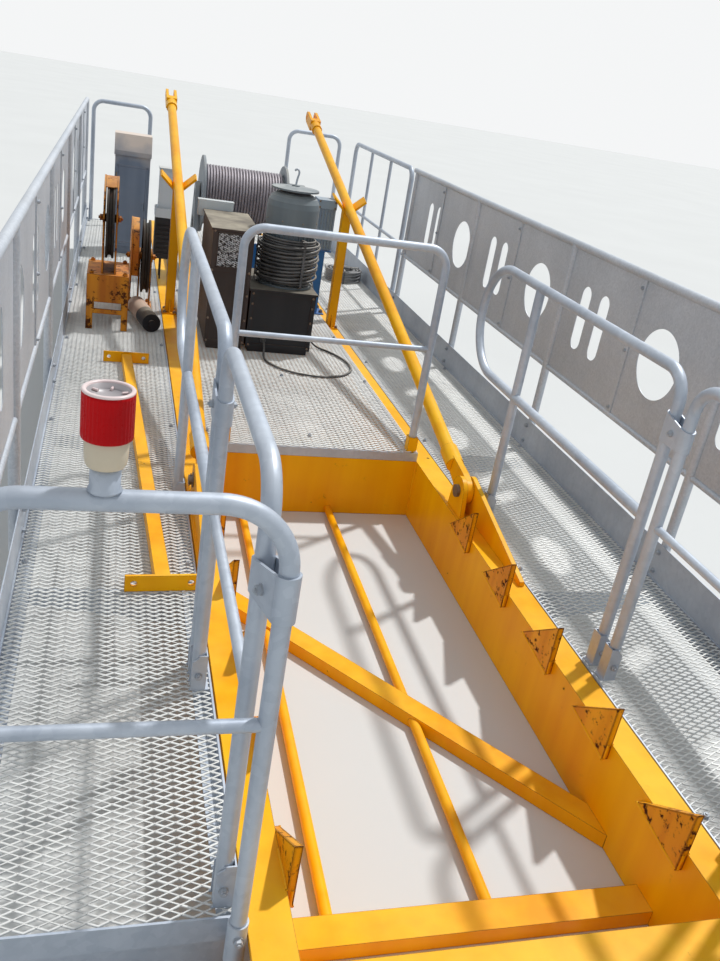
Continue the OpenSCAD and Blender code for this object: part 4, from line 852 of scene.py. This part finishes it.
# %% Helpers for fittings
def blocks(name, boxes, slot, soft):
    """Joins boxes, each given by two opposite corners in the construction's millimetres."""
    form = bmesh.new()
    for low, high in boxes:
        a, b = model_point(*low), model_point(*high)
        made = bmesh.ops.create_cube(form, size=1.0)["verts"]
        bmesh.ops.scale(form, vec=b - a, verts=made)
        bmesh.ops.translate(form, vec=(a + b) / 2, verts=made)
    return soft_edges(placed(name, baked(form, name), "jib", slot), soft)


def bars(name, lines, diameter, slot, finish=None):
    """Round bars bent along lists of points."""
    holder = curve_object(name + "_line", lines, diameter, 3)
    mesh = bpy.data.meshes.new_from_object(holder.evaluated_get(bpy.context.evaluated_depsgraph_get()))
    bpy.data.objects.remove(holder)
    mesh.name = name
    mesh.shade_smooth()
    return placed(name, mesh, "jib", slot, finish)


def turned_pieces(name, profile, spots, slot, sides=32, finish=None):
    """Turns one (radius, height) outline and sets a copy on every (place, direction)."""
    form = bmesh.new()
    for place, direction in spots:
        mesh = lathe_z([(r, z, 0) for r, z in profile], Vector(), sides)
        mesh.transform(Matrix.Translation(place) @ direction.to_track_quat("Z", "Y").to_matrix().to_4x4())
        form.from_mesh(mesh)
        bpy.data.meshes.remove(mesh)
    return soft_edges(placed(name, baked(form, name), "jib", slot, finish), 0.0008)


def straps(name, centre, degrees, section, width, slot):
    """Flat bands round a coil's section (inner, outer, low, high), one at each angle."""
    inner, outer, low, high = section
    cut, band = 0.005, 0.0012
    line = [(inner + cut, low), (outer - cut, low), (outer, low + cut), (outer, high - cut),
            (outer - cut, high), (inner + cut, high), (inner, high - cut), (inner, low + cut)]
    mid_r, mid_z = (inner + outer) / 2, (low + high) / 2
    form = bmesh.new()
    for angle in map(math.radians, degrees):
        out = Vector((math.cos(angle), math.sin(angle), 0))
        along = Vector((-math.sin(angle), math.cos(angle), 0)) * (width / 2)
        rings = []
        for r, z in line:
            thick_r, thick_z = math.copysign(band, r - mid_r), math.copysign(band, z - mid_z)
            near = centre + out * r + UP * z
            far = centre + out * (r + thick_r) + UP * (z + thick_z)
            rings.append([form.verts.new(p) for p in (near - along, far - along, far + along, near + along)])
        skin(form, rings, closed=True)
    return placed(name, baked(form, name), "jib", slot)


def washer(inner, outer, thick):
    """The outline of a flat ring."""
    return [(inner, 0), (outer, 0), (outer, thick), (inner, thick), (inner, 0)]


# %% [markdown]
# ## What holds and guides the cables
# A tapered gland lets the power cable bend gently where it leaves the stand.
# Bands keep both coils together, and the spare cable's ends wear rubber caps,
# because water creeps into an open end. The cylinder stowed behind the sheaves
# wears a pale sleeve over its far part.

# %% Gland, bands, end caps and sleeve
turned_pieces("cable_gland", [(0.0072, 0), (0.018, 0), (0.018, 0.006), (0.013, 0.007), (0.013, 0.015),
                              (0.0105, 0.018), (0.0085, 0.040), (0.0072, 0.042), (0.0072, 0)],
              [(model_point(*LOOP[0]), SOUTH)], "cable_black")
straps("motor_coil_straps", MOTOR, (-71, 70, 190), (0.1508, 0.2, 0.0145, 0.3), 0.016, "cable_black")
straps("walkway_coil_straps", PILE, (-100, 25, 150), (0.079, 0.172, -0.001, 0.112), 0.012, "cable_black")
caps = [(end, (end - before).normalized()) for end, before in (pile_line[:2], pile_line[:-3:-1])]
turned_pieces("cable_end_caps", [(0.0069, -0.022), (0.0082, -0.022), (0.0084, 0.002), (0.006, 0.006),
                                 (0, 0.0065)], caps, "cable_black", 20)
bars("beacon_lid_clips", clips, 0.004, "collar_cream", "lens_clear")
CYLINDER_END, CYLINDER_R = (-800, 4979, 358.3), 0.0582
cylinder_turn = math.radians(-168)
cylinder_along = Vector((-math.sin(cylinder_turn), math.cos(cylinder_turn), 0))
sleeve = [(CYLINDER_R, 0.006), (CYLINDER_R + 0.001, 0.008), (CYLINDER_R + 0.001, 0.252), (CYLINDER_R, 0.254),
          (CYLINDER_R, 0.006)]
turned_pieces("cylinder_sleeve", sleeve, [(model_point(*CYLINDER_END), cylinder_along)], "stand_black", 64,
              "sleeve_beige")

# %% [markdown]
# ## Pins and axles
# The tie bars turn on headed pins, each with a washer and a split pin. The rope
# sheaves run on fixed axles that are bolted up at both ends.

# %% Washers, split pins and axle nuts
PIN_X, PIN_AHEAD, PIN_Z = 612.0, 2200, 402
SPLIT_OUT, SPLIT_D = 11, 0.0045
SPLIT_PIN = ((6, 3, -28), (2, 1, -25), (0, 0, -22), (0, 0, 0), (0, 0, 21), (0, 3.5, 23), (0, 2, 26),
             (0, -2, 26), (0, -3.5, 23), (0, -1, 21))
washers = [(model_point(side * (PIN_X + 0.3), PIN_AHEAD, PIN_Z), EAST * side) for side in (-1, 1)]
turned_pieces("pin_washers", washer(0.0203, 0.031, 0.004), washers, "pin_steel")
split = [[model_point(side * (PIN_X + SPLIT_OUT + dx), PIN_AHEAD + dy, PIN_Z + dz)
          for dx, dy, dz in SPLIT_PIN] for side in (-1, 1)]
bars("split_pins", split, SPLIT_D, "pin_steel")
TALL_X, TALL_AHEAD, TALL_Z, TALL_HALF = -985, 4725, 950.3, 43
LOW_AHEAD, LOW_Z = 5150, 650.3
axle_ends = [(model_point(TALL_X + side * TALL_HALF, TALL_AHEAD, TALL_Z), EAST * side) for side in (-1, 1)]
axle_ends += [(model_point(x, LOW_AHEAD, LOW_Z), way) for x, way in ((-851, WEST), (-708, EAST))]
bolts("axle_nuts", axle_ends, "rusty_yellow", 0.034)
turned_pieces("axle_plates", [(0, 0), (0.034, 0), (0.034, 0.004), (0, 0.004)], axle_ends, "rusty_yellow")
base_bolts = grid((-835, -720), (LOW_AHEAD - 110, LOW_AHEAD + 110), (312,), UP)
base_bolts += grid((TALL_X - 100, TALL_X + 100), (TALL_AHEAD - 175, TALL_AHEAD + 175), (642,), UP)
bolts("sheave_base_bolts", base_bolts, "rusty_yellow", 0.024)

# %% [markdown]
# ## The machines' covers
# The control cabinet has a sheet of white-painted expanded metal over its vent;
# the paint has peeled, so the sheet looks speckled. Doors stand a little proud
# of their boxes, with hinges on one side and a turning latch on the other.

# %% Cabinet vent
painted("peeling_white", (232, 234, 236), (214, 216, 220), rust=(46, 42, 42), edge_amount=0.2,
        chip_amount=1.22, chip_scale=62.0, dust_amount=0.1, rough=0.5)
VENT_LOW, VENT_HIGH = model_point(-386, 4155, 846), model_point(-206, 4161, 1043)
vent = grow("cabinet_vent_sheet", mesh_tree, "jib", "box_white", "peeling_white", Corner=(0.0, 0.006, 0.0),
            Cells=8, Rows=31, Cell_width=0.0218, Cell_depth=0.0123, Strand=0.0052, Sheet=0.0016)
vent_place = Matrix.Translation(((VENT_LOW.x + VENT_HIGH.x) / 2, VENT_LOW.y + 0.003, VENT_LOW.z + 0.002))
vent.data.transform(vent_place @ Matrix.Rotation(math.pi / 2, 4, "X"))
blocks("vent_frame", [((-388, 4152, 843), (-204, 4156, 850)), ((-388, 4152, 1039), (-204, 4156, 1046)),
                      ((-388, 4152, 843), (-381, 4156, 1046)), ((-211, 4152, 843), (-204, 4156, 1046))],
       "cabinet_brown", 0.001)


# %% Doors, seams and cover bolts
def door(name, x0, x1, y, z0, z1, slot):
    """A proud door leaf on a rear face, with a folded rim, two hinges and a latch."""
    rim, middle = 12, (z0 + z1) / 2
    blocks(name, [((x0, y - 3, z0), (x1, y + 0.5, z1)),
                  ((x0, y - 6, z0), (x0 + rim, y, z1)), ((x1 - rim, y - 6, z0), (x1, y, z1)),
                  ((x0, y - 6, z0), (x1, y, z0 + rim)), ((x0, y - 6, z1 - rim), (x1, y, z1)),
                  ((x1 - 34, y - 14, middle - 34), (x1 - 20, y - 3, middle + 34))], slot, 0.0015)
    hinge_spots = [(model_point(x0 - 3, y - 5, z), UP) for z in (z0 + 60, z1 - 110)]
    knuckle = [(0, 0), (0.006, 0), (0.006, 0.05), (0, 0.05)]
    turned_pieces(name + "_hinges", knuckle, hinge_spots, "pin_steel", 14)


door("locker_door", -962, -718, 6825, 385, 1020, "cabinet_grey")
blocks("locker_seams", [((-980, 6830, 372), (-978.6, 7080, 375)), ((-701.4, 6830, 372), (-700, 7080, 375)),
                        ((-985, 6815, 1086), (-695, 6819, 1090))], "cabinet_grey", 0.0006)
COVER_Y, DRUM_AHEAD, DRUM_Z, HEAD_R = 4155, 6285, 950, 140
cover_screws = grid((-148, 218), (COVER_Y,), (396, 460, 560, 650, 712), SOUTH)
cover_screws += grid((-405, -187), (COVER_Y,), (402, 540, 690, 826, 1052), SOUTH)
cover_screws += grid((414, 526), (5224.5,), (1110, 1150), SOUTH)
bolts("cover_screws", cover_screws, "pin_steel", 0.011)
machine_bolts = grid((-53, 50, 427, 530), (5250, 5380), (358,), UP)
machine_bolts += grid((-290, -100, 110, 300), (DRUM_AHEAD - 250, DRUM_AHEAD + 250), (400,), UP)
machine_bolts += grid((400, 470), (DRUM_AHEAD - 205, DRUM_AHEAD + 205), (380,), UP)
bolts("machine_bolts", machine_bolts, "pin_steel", 0.026)
head_bolts = []
for hour in range(12):
    angle = hour * math.tau / 12
    spot = model_point(495.3, DRUM_AHEAD + HEAD_R * math.cos(angle), DRUM_Z + HEAD_R * math.sin(angle))
    head_bolts.append((spot, EAST))
bolts("gearbox_bolts", head_bolts, "machine_grey", 0.02)

# %% [markdown]
# ## The motor's head
# Under the rain cap a thin black ring is painted shade for the gap there, and a bent lifting rod stands on
# the cap.
# Two rows of small screws hold the cowl at its foot.

# %% Motor fittings
# A thin black ring round the neck: painted shade, standing for the shade under the rain cap.
turned_pieces("motor_neck_band", washer(0.0926, 0.0945, 0.013), [(MOTOR + UP * 0.5475, UP)],
              "stand_black", 64)
turned_pieces("motor_cap_boss", [(0, 0), (0.024, 0), (0.022, 0.007), (0.009, 0.009), (0, 0.009)],
              [(MOTOR + UP * 0.5845, UP)], "motor_grey")
HOOK = ((0, 0, 0.588), (0.001, 0, 0.612), (0.004, -0.002, 0.634), (0.008, -0.004, 0.652),
        (0.009, -0.004, 0.668), (0.002, -0.003, 0.679), (-0.008, -0.001, 0.680), (-0.017, 0.001, 0.671))
bars("motor_lifting_rod", [smooth([MOTOR + Vector(p) for p in HOOK], 4)], 0.012, "galvanised", "zinc_plate")
COWL_R = 0.1582
cowl_spots = []
for k in range(24):
    out = Vector((math.cos(k * math.tau / 24), math.sin(k * math.tau / 24), 0))
    cowl_spots += [(MOTOR + out * COWL_R + UP * z, out) for z in (0.362, 0.392)]
turned_pieces("motor_cowl_screws", [(0, 0), (0.0055, 0), (0.0045, 0.0022), (0, 0.0022)], cowl_spots[::3],
              "pin_steel", 12)

# %% [markdown]
# ## Weld beads
# The stop teeth and the beams are welded on. A bead is a bar of uneven
# thickness along the joint; the small ripples catch the light.

# %% Beads
weld_random = random.Random(7)
BEAD_STEP = 14


def bead(a, b, size=9.0):
    """Points along a weld, jittered across it."""
    a, b = Vector(a), Vector(b)
    count = max(3, int((b - a).length / BEAD_STEP))
    jitter = size * 0.12
    points = []
    for i in range(count + 1):
        shift = Vector([weld_random.uniform(-jitter, jitter) for _ in range(3)])
        points.append(model_point(*(a.lerp(b, i / count) + shift)))
    return points


TEETH, TOOTH_FIRST, TOOTH_STEP = 5, 305, 405
WELD_Z, BEAM_AHEAD, PLATE_AHEAD = 301, 2722, 2290
welds = []
for side in (-1, 1):
    for i in range(TEETH):
        rear = TOOTH_FIRST + TOOTH_STEP * i
        welds.append(bead((side * 506, rear, 246), (side * 506, rear + 212, 270)))
        welds.append(bead((side * 512, rear, 248), (side * 512, rear, DECK_Z)))
        welds.append(bead((side * 526, rear, WELD_Z), (side * 526, rear + 118, WELD_Z), 7))
    welds.append(bead((side * 524, BEAM_AHEAD, 12), (side * 524, BEAM_AHEAD, 298), 12))
    welds.append(bead((side * 500, BEAM_AHEAD + 4, 6), (side * 524, BEAM_AHEAD + 4, 6)))
    for x in (side * 545, side * 605):
        welds.append(bead((x, 5050, 311), (x, 5110, 311)))
    welds.append(bead((side * 555, 2110, WELD_Z), (side * 555, PLATE_AHEAD, WELD_Z)))
    welds.append(bead((side * 613, 1590, WELD_Z), (side * 613, PLATE_AHEAD, WELD_Z)))
bars("weld_beads", welds, 0.008, "yellow_paint")
panel_spots = []
for side, far, posts in SIGN_RAILS:
    panel_spots += grid((side * PANEL_X,), [along_rail(far, posts, i + 0.5) for i in range(posts - 1)],
                        (790, 1060, 1340), EAST * -side)
bolts("panel_rivets", panel_spots, "galvanised", 0.014, "zinc_plate")
print("welds:", len(welds))

# %% [markdown]
# ## Floor, light and background
# A plain pale floor takes the shadow of the jib. One broad lamp from high on the
# right gives the sun's direction softly, and the world fills the rest. The floor
# colour and the world make the background pale for the camera and in reflections.

# %% Stage
tree, shader = new_material("studio_floor")
place = object_place(tree)
cloud = first("TexNoise", Vector=place, Scale=0.6, Detail=4.0)
wire(shader.inputs["Base Color"], mix(cloud, rgb(206, 206, 203), rgb(216, 216, 213)))
shader.inputs["Roughness"].default_value = 0.9
FLOOR_HALF, FLOOR_GAP = 60.0, 0.001
floor_mesh = bpy.data.meshes.new("studio_floor")
floor_mesh.from_pydata([(x * FLOOR_HALF, y * FLOOR_HALF, cad_low.z - FLOOR_GAP)
                        for x, y in ((-1, -1), (1, -1), (1, 1), (-1, 1))], [], [(0, 1, 2, 3)])
floor = bpy.data.objects.new("studio_floor", floor_mesh)
scene.collection.objects.link(floor)
floor_mesh.materials.append(FINISH["studio_floor"])
floor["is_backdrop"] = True

SUN_FROM = (0.52, 0.34, 1.0)
sun = bpy.data.lights.new("soft_sun", "SUN")
sun.energy = 2.7
sun.angle = math.radians(2.5)
sun_object = bpy.data.objects.new("soft_sun", sun)
scene.collection.objects.link(sun_object)
sun_object.rotation_euler = Vector(SUN_FROM).to_track_quat("Z", "Y").to_euler()

world = bpy.data.worlds.new("studio_world")
scene.world = world
world.use_nodes = True
sky = world.node_tree
rays = add(sky, "LightPath").outputs
mirrored = calc("MAXIMUM", rays["Is Glossy Ray"], rays["Is Transmission Ray"])
seen = calc("MAXIMUM", rays["Is Camera Ray"], mirrored)
lighting = sky.nodes["Background"]
lighting.inputs["Color"].default_value = (0.86, 0.93, 1.0, 1.0)
lighting.inputs["Strength"].default_value = 0.55
backdrop = add(sky, "Background", Color=(0.91, 0.92, 0.925, 1.0), Strength=1.0).outputs[0]
chosen = first("MixShader", i0=seen, i1=lighting.outputs[0], i2=backdrop)
wire(sky.nodes["World Output"].inputs["Surface"], chosen)
scene.view_settings.view_transform = "Standard"

# %% Finish
low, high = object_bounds()
print("visual box", [round(v, 3) for v in low], [round(v, 3) for v in high])
